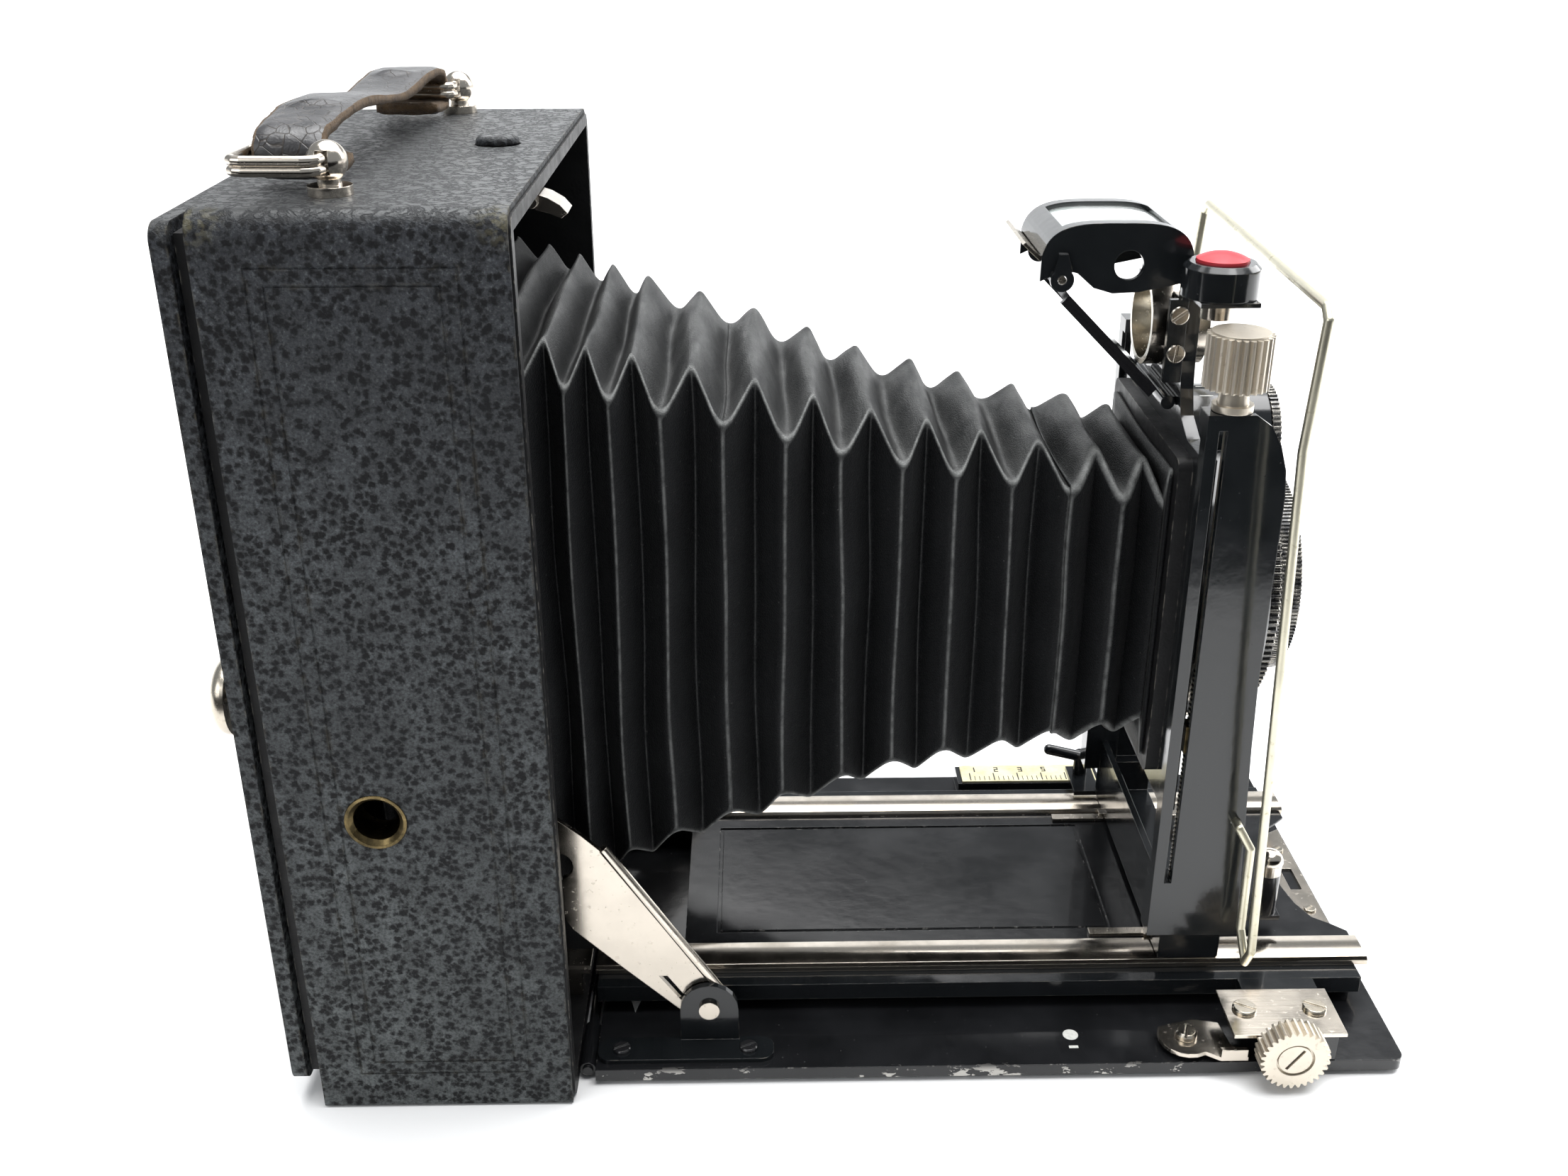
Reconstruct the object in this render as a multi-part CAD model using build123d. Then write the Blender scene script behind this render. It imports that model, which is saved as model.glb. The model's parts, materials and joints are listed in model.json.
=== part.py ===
from build123d import *
import math
import os

os.makedirs("parts", exist_ok=True)

# Folding plate camera for 9 x 12 cm plates, opened for use. Millimetres.
# +X is forward along the lens axis, +Y is the photographer's left, +Z is up.
# Shapes are drawn from the body's front face, on the base plane z = 0 and the
# mid-plane y = 0, then moved so that the origin is the middle of the body's base.

# ---- body -----------------------------------------------------------------
BODY_D = 47.0          # front to back
BODY_HW = 57.0         # half width
ORIGIN_X = BODY_D / 2  # from the body's middle to its front face
BODY_H = 166.0         # height
BODY_R = 4.0           # rounded long edges
SKIN = 1.0             # leather thickness
WALL = 3.4             # wall with its leather
PLATE_HW = 45.5        # half width of the plate aperture
PLATE_HH = 60.5        # half height of the plate aperture
PLATE_Z = 83.0         # middle of the plate

# ---- bed ------------------------------------------------------------------
BED_X0 = 3.4
BED_X1 = 158.5
BED_HW = 52.0
BED_TOP = 3.4
GUIDE_IN = 24.5        # fixed guide, inner and outer edges
GUIDE_OUT = 35.5
GUIDE_TOP = 9.8
RAIL_X0 = 2.0
RAIL_X1 = 157.5
RAIL_BOT = 9.9
RAIL_TOP = 11.5

# ---- focusing -------------------------------------------------------------
PIN_X = 135.0
PIN_Z = 8.3
SHAFT_R = 1.1
PINION_R = 1.75
KNOB_R = 6.6

# ---- standard -------------------------------------------------------------
STD_X0 = 114.9
STD_X1 = 126.3
ARM_OUT = 34.0
ARM_TOP = 127.0
SCREW_X = 116.1
SCREW_Y = 31.0
SCREW_R = 0.95
LENS_Z = 84.0
PANEL_X0 = 112.2
PANEL_X1 = 114.6
RIM_X = 133.4         # big front ring of the lens
LEVEL = (115.3, -18.6)
LEVEL_Z = 143.7       # top of the shelf that carries the level

# ---- wire finder ----------------------------------------------------------
WIRE_R = 0.85
WIRE_PIVOT = (127.4, 46.0)
WIRE_LEAN = 4.3       # how far the frame's far upper corner is bent forward


# ---- helpers --------------------------------------------------------------
def box(x0, x1, y0, y1, z0, z1):
    """Block between two corners."""
    size = Box(x1 - x0, y1 - y0, z1 - z0)
    return Pos((x0 + x1) / 2, (y0 + y1) / 2, (z0 + z1) / 2) * size


def rod(p, q, r):
    """Round bar from p to q."""
    p = Vector(*p)
    q = Vector(*q)
    d = q - p
    return Plane(origin=p, z_dir=d) * Cylinder(r, d.length, align=(Align.CENTER, Align.CENTER, Align.MIN))


def cone(p, q, r0, r1):
    """Truncated cone from p to q."""
    p = Vector(*p)
    q = Vector(*q)
    d = q - p
    return Plane(origin=p, z_dir=d) * Cone(r0, r1, d.length, align=(Align.CENTER, Align.CENTER, Align.MIN))


def wire(points, r, closed=False):
    """Bent round wire with ball corners."""
    pairs = list(zip(points, points[1:]))
    if closed:
        pairs.append((points[-1], points[0]))
    shape = None
    for p, q in pairs:
        seg = rod(p, q, r)
        shape = seg if shape is None else shape + seg
    inner = points if closed else points[1:-1]
    for p in inner:
        shape = shape + Pos(*p) * Sphere(r)
    return shape


def plate_y(points, y0, y1):
    """Flat plate with an outline of (x, z) points, between two y values."""
    plane = Plane(origin=(0, y1, 0), x_dir=(1, 0, 0), z_dir=(0, -1, 0))
    return extrude(plane * make_face(Polyline(*points, close=True)), y1 - y0)


def plate_x(points, x0, x1):
    """Flat plate with an outline of (y, z) points, between two x values."""
    plane = Plane(origin=(x0, 0, 0), x_dir=(0, 1, 0), z_dir=(1, 0, 0))
    return extrude(plane * make_face(Polyline(*points, close=True)), x1 - x0)


def plate_z(points, z0, z1):
    """Flat plate with an outline of (x, y) points, between two z values."""
    return extrude(Pos(0, 0, z0) * make_face(Polyline(*points, close=True)), z1 - z0)


def arc(cx, cy, r, a0, a1, n):
    """Points along an arc, angles in degrees."""
    steps = [a0 + (a1 - a0) * i / n for i in range(n + 1)]
    return [(cx + r * math.cos(math.radians(a)), cy + r * math.sin(math.radians(a))) for a in steps]


def toothed(r_tip, r_root, count):
    """Face of a fluted round knob, in the XY plane."""
    points = []
    for i in range(count):
        for k, r in ((-0.16, r_tip), (0.16, r_tip), (0.42, r_root), (0.58, r_root)):
            a = 2 * math.pi * (i + k) / count
            points.append((r * math.cos(a), r * math.sin(a)))
    return make_face(Polyline(*points, close=True))


def fluted(p, q, r_tip, r_root, count):
    """Fluted knob body from p to q."""
    p = Vector(*p)
    q = Vector(*q)
    d = q - p
    return Plane(origin=p, z_dir=d) * extrude(toothed(r_tip, r_root, count), d.length)


def slotted_screw(p, direction, r, h, slot):
    """Round screw head standing on point p, with a saw slot and a short shank."""
    d = Vector(*direction)
    p = Vector(*p)
    head = rod(p, p + d * h, r)
    head = chamfer(head.edges().sort_by(Axis(p, d))[-1], h * 0.35)
    cut = Plane(origin=p + d * h, z_dir=d, x_dir=slot) * Box(2.4 * r, 0.26 * r, h * 0.7)
    return head - cut


def mirror_y(shape):
    """The same piece on the other side of the mid-plane."""
    return mirror(shape, about=Plane.XZ)


# ---- body -----------------------------------------------------------------
def rounded_tube(hw, z0, z1, x0, x1, r):
    """Solid with rounded long edges, before hollowing."""
    solid = box(x0, x1, -hw, hw, z0, z1)
    return fillet(solid.edges().filter_by(Axis.X), r)


def body_box():
    outer = rounded_tube(BODY_HW - SKIN, 0.0, BODY_H - SKIN, -BODY_D, 0.0, BODY_R - SKIN)
    cavity = box(-43.6, 1.0, -BODY_HW + WALL, BODY_HW - WALL, WALL, BODY_H - WALL)
    shape = outer - cavity
    shape -= box(-50, -40, -PLATE_HW, PLATE_HW, PLATE_Z - PLATE_HH, PLATE_Z + PLATE_HH)
    shape -= rod((-30.4, -BODY_HW - 1, 63.0), (-30.4, -50.0, 63.0), 5.35)
    shape -= rod((-11.0, 6.0, BODY_H - 5), (-11.0, 6.0, BODY_H + 1), 1.6)
    return shape


def body_leather():
    outer = rounded_tube(BODY_HW, -3.0, BODY_H, -BODY_D + 0.2, -0.4, BODY_R)
    inner = rounded_tube(BODY_HW - SKIN, -6.0, BODY_H - SKIN, -BODY_D - 1, 1.0, BODY_R - SKIN)
    shape = outer - inner
    shape -= box(-60, 10, -70, 70, -10.0, 0.35)
    for inset in (8.0, 10.7):
        x0 = -BODY_D + inset
        x1 = -inset
        z0 = inset
        z1 = BODY_H - inset
        line = box(x0 - 0.2, x1 + 0.2, -BODY_HW - 1, -BODY_HW + 0.12, z0 - 0.2, z1 + 0.2)
        line -= box(x0 + 0.2, x1 - 0.2, -BODY_HW - 2, -BODY_HW + 1, z0 + 0.2, z1 - 0.2)
        shape -= line
        shape -= mirror_y(line)
    shape -= rod((-30.4, -BODY_HW - 1, 63.0), (-30.4, -50.0, 63.0), 5.35)
    shape -= rod((-11.0, 6.0, BODY_H - 5), (-11.0, 6.0, BODY_H + 2), 4.1)
    return shape


def bellows_rear_frame():
    frame = box(-43.5, -41.6, -49.0, 49.0, 18.0, 148.0)
    return frame - box(-45, -40, -46.5, 46.5, PLATE_Z - 62.0, PLATE_Z + 62.0)


def body_rails():
    """Short rails on the floor of the body, in line with the rails of the bed."""
    rail = box(-40.0, 1.0, 25.0, 31.5, RAIL_BOT, RAIL_TOP)
    rail = chamfer(rail.edges().filter_by(Axis.X).group_by(Axis.Z)[-1], 0.5)
    rail += box(-40.0, -1.0, 26.0, 30.0, WALL, RAIL_BOT)
    return Compound(children=[rail, mirror_y(rail)])


def release_button():
    stem = rod((-11.0, 6.0, BODY_H - 4.2), (-11.0, 6.0, BODY_H), 1.5)
    cap = rod((-11.0, 6.0, BODY_H + 0.2), (-11.0, 6.0, BODY_H + 1.6), 3.9)
    cap = fillet(cap.edges().group_by(Axis.Z)[-1], 1.2)
    return stem + cap + rod((-11.0, 6.0, BODY_H - 0.1), (-11.0, 6.0, BODY_H + 0.3), 1.5)


def bed_catch():
    """Nickel tongue that holds the closed bed, hanging inside the top of the front."""
    profile = [(-2.2, 161.8), (-0.6, 162.4), (1.2, 161.8), (3.2, 160.6), (4.4, 159.2)]
    profile += [(3.4, 158.4), (1.4, 159.2), (-0.8, 159.8)]
    tongue = plate_y(profile, -23.6, -16.6)
    return tongue + rod((-1.2, -25.2, 161.2), (-1.2, -15.0, 161.2), 0.9)


def tripod_bush():
    """Bush with the 3/8 inch tripod thread, let into the side."""
    bush = rod((-30.4, -57.1, 63.0), (-30.4, -50.2, 63.0), 5.3)
    bush -= rod((-30.4, -58.0, 63.0), (-30.4, -49.0, 63.0), 3.97)
    bush -= cone((-30.4, -57.11, 63.0), (-30.4, -56.3, 63.0), 4.75, 3.97)
    return bush


def back_frame():
    """Guides for the plate holder, with a gap between body and cover."""
    frame = box(-49.3, -47.0, -54.0, 54.0, 6.5, 162.5)
    frame -= box(-51, -45, -PLATE_HW, PLATE_HW, PLATE_Z - PLATE_HH, PLATE_Z + PLATE_HH)
    frame -= box(-51, -48.3, -PLATE_HW - 1.5, PLATE_HW + 1.5, PLATE_Z - 62.0, PLATE_Z + 62.0)
    for z in (50.0, 116.0):
        frame += rod((-51.6, 56.4, z - 5.0), (-51.6, 56.4, z + 5.0), 1.2)
        frame += box(-51.6, -47.1, 55.5, 57.0, z - 5.0, z + 5.0)
        frame += box(-49.3, -47.1, 53.5, 57.0, z - 5.0, z + 5.0)
    return frame


def ground_glass():
    return box(-49.2, -48.3, -PLATE_HW - 1.3, PLATE_HW + 1.3, PLATE_Z - 61.8, PLATE_Z + 61.8)


def back_cover():
    """Cover of the focusing hood, hinged on the far edge."""
    cover = box(-52.4, -49.7, -55.8, 55.2, 4.8, 164.2)
    cover = fillet(cover.edges().filter_by(Axis.X), 3.0)
    cover -= box(-49.9, -49.0, -51.0, 51.0, 10.0, 159.0)
    cover -= rod((-49.0, -47.7, 83.0), (-54.0, -47.7, 83.0), 1.35)
    for z in (30.0, 83.0, 136.0):
        cover += rod((-51.6, 56.4, z - 8.0), (-51.6, 56.4, z + 8.0), 1.2)
        cover += box(-52.4, -51.0, 54.5, 56.4, z - 8.0, z + 8.0)
    return cover


def back_knob():
    knob = rod((-49.95, -47.7, 83.0), (-54.2, -47.7, 83.0), 1.25)
    dome = rod((-53.8, -47.7, 83.0), (-56.6, -47.7, 83.0), 6.9)
    dome = fillet(dome.edges().group_by(Axis.X)[0], 2.2)
    return knob + dome


# ---- handle ---------------------------------------------------------------
POST_X = -26.9
POST_Y = (-43.4, 48.2)
BALL_Z = BODY_H + 5.0
HANDLE_YAW = -2.25     # the handle stands slightly askew on the body
RING_BAR = 6.4         # from a post to the bar that the strap goes round


def askew(shape):
    return Pos(POST_X, 0, 0) * Rot(0, 0, HANDLE_YAW) * Pos(-POST_X, 0, 0) * shape


def handle_posts():
    """Ball-headed posts, slotted for the two wires of a ring."""
    posts = []
    for y in POST_Y:
        post = rod((POST_X, y, BODY_H), (POST_X, y, BODY_H + 1.5), 3.4)
        post += rod((POST_X, y, BODY_H), (POST_X, y, BALL_Z), 1.8)
        post += Pos(POST_X, y, BALL_Z) * Sphere(3.1)
        post -= box(POST_X - 0.95, POST_X + 0.95, y - 4.0, y + 4.0, BALL_Z - 1.75, BALL_Z + 1.75)
        posts.append(askew(post))
    return Compound(children=posts)


def ring_outline(sign, y, z):
    """Rounded rectangle with one side through the post's ball."""
    x0, x1 = POST_X - 13.3, POST_X
    y0, y1 = sorted((y - sign * 5.4, y + sign * RING_BAR))
    r = 2.2
    flat = []
    for cx, cy, a in ((x1 - r, y1 - r, 0), (x0 + r, y1 - r, 90), (x0 + r, y0 + r, 180), (x1 - r, y0 + r, 270)):
        flat += arc(cx, cy, r, a, a + 90, 3)
    return [(px, py, z) for px, py in flat]


def handle_rings():
    rings = []
    for y, sign in zip(POST_Y, (1, -1)):
        pair = [wire(ring_outline(sign, y, z), 0.8, closed=True) for z in (BALL_Z - 0.75, BALL_Z + 0.75)]
        rings.append(askew(pair[0] + pair[1]))
    return Compound(children=rings)


def ribbon(path, half):
    """Outline of a strip of even thickness along a path."""
    left = []
    right = []
    last = len(path) - 1
    for i, (u, v) in enumerate(path):
        a = path[max(i - 1, 0)]
        b = path[min(i + 1, last)]
        du = b[0] - a[0]
        dv = b[1] - a[1]
        n = math.hypot(du, dv)
        left.append((u - dv / n * half, v + du / n * half))
        right.append((u + dv / n * half, v - du / n * half))
    return left + right[::-1]


def handle_strap():
    """Leather strap, its ends turned under the inner bars of the rings."""
    near = POST_Y[0] + RING_BAR
    far = POST_Y[1] - RING_BAR
    path = [(near + 11.0, 168.2)] + arc(near, BALL_Z, 2.75, 270, 90, 8)
    path += [(-27.0, 174.6), (-16.0, 176.2), (-5.0, 176.6), (6.0, 175.6), (16.0, 176.4), (28.0, 176.2)]
    path += arc(far, BALL_Z, 2.75, 90, -90, 8) + [(far - 11.0, 168.2)]
    side = Polyline(*ribbon(path, 0.8), close=True)
    plane = Plane(origin=(POST_X - 12.3, 0, 0), x_dir=(0, 1, 0), z_dir=(1, 0, 0))
    return askew(extrude(plane * make_face(side), 11.2))


# ---- bed ------------------------------------------------------------------
def bed_panel():
    panel = box(BED_X0, BED_X1, -BED_HW, BED_HW, 0.9, BED_TOP)
    panel = fillet(panel.edges().filter_by(Axis.Z).group_by(Axis.X)[-1], 2.0)
    panel += box(84.0, 119.0, 42.6, 50.6, BED_TOP, 7.2)
    return panel


def bed_covering():
    skin = box(BED_X0 + 1.2, BED_X1 - 1.2, -BED_HW + 1.2, BED_HW - 1.2, 0.0, 0.9)
    return fillet(skin.edges().filter_by(Axis.Z).group_by(Axis.X)[-1], 2.0)


def bed_hinge():
    """Five knuckles on one pin along the foot of the opening."""
    hinge = rod((1.75, -50.5, 1.9), (1.75, 50.5, 1.9), 1.0)
    for y in (-50.0, -26.0, -2.0, 22.0, 38.0):
        hinge += rod((1.75, y, 1.9), (1.75, y + 12.0, 1.9), 1.6)
    return hinge


def track_guides():
    """Pair of fixed guides that carry the sliding rails."""
    guide = box(RAIL_X0 + 0.6, 155.0, 26.2, 31.2, BED_TOP, 6.6)
    guide += box(RAIL_X0 + 0.6, 155.0, GUIDE_IN, GUIDE_OUT, 6.2, GUIDE_TOP)
    guide -= box(60.0, 160.0, 26.6, 30.6, 5.8, 12.0)
    guide -= rod((PIN_X, 20.0, PIN_Z), (PIN_X, 40.0, PIN_Z), SHAFT_R + 0.1)
    return Compound(children=[guide, mirror_y(guide)])


def latch_plate():
    """Plate at the front of the bed that the body's catch holds when closed."""
    outline = [(158.0, -14.0), (154.6, -12.0), (152.4, -7.5), (151.0, -1.0), (150.6, 6.0)]
    outline += [(151.0, 13.0), (152.4, 19.5), (154.6, 24.0), (158.0, 26.0)]
    plate = plate_z(outline, BED_TOP, BED_TOP + 0.6)
    return plate - box(153.6, 156.2, 2.0, 10.0, BED_TOP - 1, BED_TOP + 2)


def strut_brackets():
    foot = box(3.6, 37.5, 44.0, 50.4, BED_TOP, BED_TOP + 1.0)
    foot = fillet(foot.edges().filter_by(Axis.Z), 2.6)
    outline = [(19.4, BED_TOP)] + [(x, z) for x, z in arc(25.1, 11.6, 5.6, 180, 0, 10)] + [(30.8, BED_TOP)]
    lug = plate_y(outline, 43.6, 44.8)
    lug -= rod((25.1, 40.0, 11.8), (25.1, 47.0, 11.8), 1.5)
    bracket = foot + lug
    return Compound(children=[bracket, mirror_y(bracket)])


STRUT_TOP = (-9.5, 60.5)


def struts():
    """Wide side struts with a half-round notch at the upper end."""
    edge = [(26.9, 14.2), (5.6, 47.4), (2.4, 50.6), (-3.4, 55.4), (-5.2, 58.6)]
    edge += arc(STRUT_TOP[0], STRUT_TOP[1], 5.0, 0, 180, 8)
    edge += [(-14.2, 56.0), (-6.2, 48.0)]
    edge += arc(-2.2, 44.0, 2.9, 120, -75, 8)
    edge += [(-1.6, 32.4), (-0.2, 29.8), (8.6, 21.0), (20.4, 9.6)]
    edge += arc(25.1, 11.8, 4.6, 205, 320, 6)
    strut = plate_y(edge, 42.2, 43.3)
    slit = plate_y([(15.6, 18.6), (17.2, 18.6), (20.6, 13.6), (19.6, 12.9)], 41.0, 45.0)
    strut -= slit
    strut += rod((27.4, 42.6, 14.4), (6.2, 42.6, 47.4), 0.95)
    strut -= rod((25.1, 40.0, 11.8), (25.1, 47.0, 11.8), 1.5)
    strut -= rod((STRUT_TOP[0], 40.0, STRUT_TOP[1]), (STRUT_TOP[0], 47.0, STRUT_TOP[1]), 1.5)
    return Compound(children=[strut, mirror_y(strut)])


def strut_pins():
    """Rivets at the lower ends and long studs at the upper ends."""
    rivet = rod((25.1, 41.6, 11.8), (25.1, 45.0, 11.8), 1.5)
    rivet += rod((25.1, 44.8, 11.8), (25.1, 45.6, 11.8), 2.0)
    rivet += rod((25.1, 41.6, 11.8), (25.1, 42.2, 11.8), 2.0)
    stud = rod((STRUT_TOP[0], 41.6, STRUT_TOP[1]), (STRUT_TOP[0], BODY_HW - WALL, STRUT_TOP[1]), 1.5)
    stud += rod((STRUT_TOP[0], 43.3, STRUT_TOP[1]), (STRUT_TOP[0], BODY_HW - WALL, STRUT_TOP[1]), 2.4)
    return Compound(children=[rivet, stud, mirror_y(rivet), mirror_y(stud)])


def bed_screws():
    """Slotted screws of the bed fittings."""
    up = (0, 0, 1)
    screws = []
    for x in (8.2, 32.6):
        for y in (-47.3, 47.3):
            screws.append(slotted_screw((x, y, BED_TOP + 1.0), up, 1.7, 0.7, (1, 0.5, 0)))
    for y in (-5.4, 17.4):
        screws.append(slotted_screw((155.4, y, BED_TOP + 0.6), up, 1.3, 0.5, (1, 0.8, 0)))
    for x in (128.4, 142.0):
        screws.append(slotted_screw((x, -45.6, 10.7), up, 2.3, 0.8, (1, -0.55, 0)))
    pivot = rod((117.4, -46.6, BED_TOP), (117.4, -46.6, 5.4), 1.1)
    screws.append(pivot + slotted_screw((117.4, -46.6, 5.38), up, 2.1, 1.3, (0.35, 1, 0)))
    return Compound(children=screws)


def bearing_block():
    block = box(130.0, 145.0, -51.8, -GUIDE_OUT - 0.1, BED_TOP, 10.0)
    return block - rod((PIN_X, -60.0, PIN_Z), (PIN_X, -30.0, PIN_Z), SHAFT_R + 0.1)


def bearing_plate():
    return box(124.5, 146.0, -53.0, -39.8, 10.0, 10.7)


def focus_shaft():
    """Pinion shaft across the bed with a pinion under each rail."""
    shaft = rod((PIN_X, -53.3, PIN_Z), (PIN_X, 37.5, PIN_Z), SHAFT_R)
    for y in (-29.8, 27.4):
        shaft += fluted((PIN_X, y, PIN_Z), (PIN_X, y + 2.4, PIN_Z), PINION_R, 1.3, 12)
    return shaft


def focus_knob():
    knob = fluted((PIN_X, -53.3, PIN_Z), (PIN_X, -57.4, PIN_Z), KNOB_R, KNOB_R - 0.75, 30)
    knob = knob - rod((PIN_X, -57.5, PIN_Z), (PIN_X, -56.7, PIN_Z), 3.6)
    hub = rod((PIN_X, -56.9, PIN_Z), (PIN_X, -57.2, PIN_Z), 3.2)
    slot = Pos(PIN_X, -57.3, PIN_Z) * Rot(0, 35, 0) * Box(0.6, 0.8, 5.2)
    return knob + (hub - slot)


def lock_lever():
    outline = arc(117.4, -46.6, 5.4, 150, 300, 8)
    outline += [(122.4, -52.8), (127.8, -52.9), (127.8, -50.2), (125.4, -49.4), (124.6, -43.0), (120.0, -41.9)]
    lever = plate_z(outline, 4.5, 5.3)
    lever -= rod((117.4, -46.6, 3.0), (117.4, -46.6, 8.0), 1.18)
    lever += box(122.6, 127.6, -52.9, -51.9, 4.5, 7.0)
    return lever


def scale_plate():
    return box(85.0, 118.0, 42.9, 50.3, 7.2, 7.7)


# ---- carriage -------------------------------------------------------------
def carriage_plate():
    """Plate between the rails, cut back in a curve at the front."""
    outline = [(19.5, -24.3), (157.0, -24.3), (157.0, -22.0), (154.4, -19.5), (151.2, -17.0)]
    outline += [(149.2, -12.0), (148.2, -6.0), (148.0, 0.0), (148.2, 6.0), (149.2, 12.0)]
    outline += [(151.2, 17.0), (154.4, 19.5), (157.0, 22.0), (157.0, 24.3), (19.5, 24.3)]
    plate = plate_z(outline, 9.5, RAIL_BOT)
    plate += plate_z([(x, y * 23.5 / 24.3) for x, y in outline], RAIL_BOT, 10.4)
    groove = box(26.0, 108.0, -19.4, 19.4, 10.1, 11.0) - box(26.8, 107.2, -18.6, 18.6, 9.0, 12.0)
    return plate - groove


def carriage_rails():
    rail = box(RAIL_X0, RAIL_X1, 23.6, 31.6, RAIL_BOT, RAIL_TOP)
    rail = chamfer(rail.edges().filter_by(Axis.X).group_by(Axis.Z)[-1], 0.6)
    rail -= box(58.0, 157.0, 26.9, 30.3, RAIL_BOT - 1, 10.9)
    return Compound(children=[rail, mirror_y(rail)])


def focus_racks():
    rack = box(58.2, 156.8, 27.0, 30.2, 10.35, 10.88)
    for i in range(109):
        x = 58.4 + 0.9 * i
        rack += box(x, x + 0.45, 27.0, 30.2, 10.15, 10.5)
    return Compound(children=[rack, mirror_y(rack)])


# ---- standard -------------------------------------------------------------
def arm():
    """Upright of the standard, with a channel for the rise screw behind it."""
    outline = [(STD_X0, 19.6), (129.4, 19.6), (128.8, 25.0), (126.8, 62.0), (STD_X1, 76.0)]
    outline += [(STD_X1, 112.0), (125.8, 117.0), (124.4, 121.6), (122.4, 125.0), (119.6, ARM_TOP), (STD_X0, ARM_TOP)]
    slab = plate_y(outline, 32.7, ARM_OUT)
    slab += box(111.3, 112.1, 30.9, ARM_OUT, 19.6, ARM_TOP)
    slab += box(111.3, 113.5, 31.6, ARM_OUT, 19.6, ARM_TOP)
    slab += box(111.3, 118.6, 28.9, ARM_OUT, 124.2, ARM_TOP)
    slab += box(111.3, 118.6, 28.9, ARM_OUT, 19.6, 32.0)
    return slab


def standard_frame():
    """Black U of sheet metal, open at the top, with its foot on the rails."""
    cross = box(STD_X0, STD_X0 + 1.4, -ARM_OUT, ARM_OUT, 19.6, 27.0)
    cross += box(STD_X0, STD_X0 + 1.4, -31.0, 31.0, 11.8, 19.6)
    cross += box(STD_X0, 127.0, -31.0, 31.0, 11.8, 13.2)
    cross += box(STD_X0, 128.0, -ARM_OUT, -29.6, 19.6, 20.8)
    cross += box(STD_X0, 128.0, 29.6, ARM_OUT, 19.6, 20.8)
    cross += box(STD_X0, 127.0, -31.0, -29.6, 11.8, 20.0)
    cross += box(STD_X0, 127.0, 29.6, 31.0, 11.8, 20.0)
    cross += box(109.6, 115.6, 29.6, 41.0, 11.8, 12.9)
    shape = cross + arm() + mirror_y(arm())
    shape -= rod((SCREW_X, -SCREW_Y, 25.0), (SCREW_X, -SCREW_Y, 130.0), SCREW_R + 0.08)
    pivot_x = WIRE_PIVOT[0] - 1.6
    return shape - rod((pivot_x, -40.0, WIRE_PIVOT[1]), (pivot_x, 40.0, WIRE_PIVOT[1]), WIRE_R + 0.08)


def standard_clamps():
    """Nickel jaws under the foot that hold the standard on the rails."""
    jaw = box(114.0, 127.0, 21.6, 23.4, 10.55, 11.8)
    jaw += box(103.0, 116.0, 20.4, 22.4, 10.55, 11.3)
    jaw += box(118.0, 124.0, 8.0, 23.3, 11.0, 11.8)
    return Compound(children=[jaw, mirror_y(jaw)])


def rise_screw():
    """Long screw and fluted knob that lift the lens panel."""
    x, y = SCREW_X, -SCREW_Y
    screw = rod((x, y, 31.0), (x, y, 131.0), SCREW_R)
    screw += rod((x, y, ARM_TOP + 0.1), (x, y, ARM_TOP + 1.3), 3.5)
    screw += cone((x, y, ARM_TOP + 1.3), (x, y, ARM_TOP + 4.2), 2.7, 2.3)
    screw += fluted((x, y, ARM_TOP + 4.2), (x, y, 140.4), 5.6, 4.9, 26)
    screw += rod((x, y, ARM_TOP + 4.2), (x, y, 140.8), 4.9)
    return screw


def rail_lock_lever():
    """Small black lever of the far rail clamp."""
    lever = rod((112.6, 38.4, 13.0), (112.6, 38.4, 18.4), 1.7)
    lever += rod((112.6, 38.4, 17.2), (104.6, 37.8, 19.6), 1.3)
    lever += Pos(104.6, 37.8, 19.6) * Sphere(1.3)
    return lever


def grip(sign):
    """Finger grip in front of the standard, a black post with a domed nickel cap."""
    y = 19.0 * sign
    post = rod((139.5, y, 14.4), (139.5, y, 26.4), 2.5)
    cap = Pos(139.5, y, 26.4) * Sphere(2.7)
    cap -= box(130.0, 150.0, y - 5, y + 5, 20.0, 26.4)
    arm_bar = box(127.2, 142.4, y - 2.4, y + 2.4, 13.4, 14.5)
    arm_bar += box(127.2, 128.3, y - 2.4, y + 2.4, 13.4, 20.0)
    return post + cap + arm_bar


def wire_frame():
    """Wire frame finder: one bent wire with a hairpin foot on each side."""
    px, pz = WIRE_PIVOT
    y = 44.0
    half = [
        (px - 1.6, 33.0, pz),
        (px - 1.6, 36.4, pz),
        (px + 0.7, 37.4, pz - 4.0),
        (px + 0.9, 37.8, 24.0),
        (128.9, 41.0, 18.4),
        (129.2, 42.6, 22.0),
        (126.4, y, 76.0),
        (124.4, y, 124.0),
        (125.3, y + 0.4, 146.0),
        (125.4, y - 1.6, 147.8),
    ]
    far = half[:5] + [(a + WIRE_LEAN * (c - 22.0) / 126.0, b, c) for a, b, c in half[5:]]
    near = [(a, -b, c) for a, b, c in half]
    return wire(far + near[::-1], WIRE_R)


# ---- lens panel -----------------------------------------------------------
def lens_panel():
    outline = [(-31.3, 47.0), (31.3, 47.0), (31.3, 118.0), (20.0, 118.0)]
    outline += [(14.4, 120.6), (12.4, 125.0), (11.8, 130.0), (11.8, 141.4)]
    outline += [(-11.8, 141.4), (-11.8, 130.0), (-12.4, 125.0), (-14.4, 120.6), (-20.0, 118.0), (-31.3, 118.0)]
    panel = plate_x(outline, PANEL_X0, PANEL_X1)
    panel -= rod((105, 0, LENS_Z), (120, 0, LENS_Z), 10.4)
    return panel - rod((105, 0, 135.0), (120, 0, 135.0), 8.6)


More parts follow.
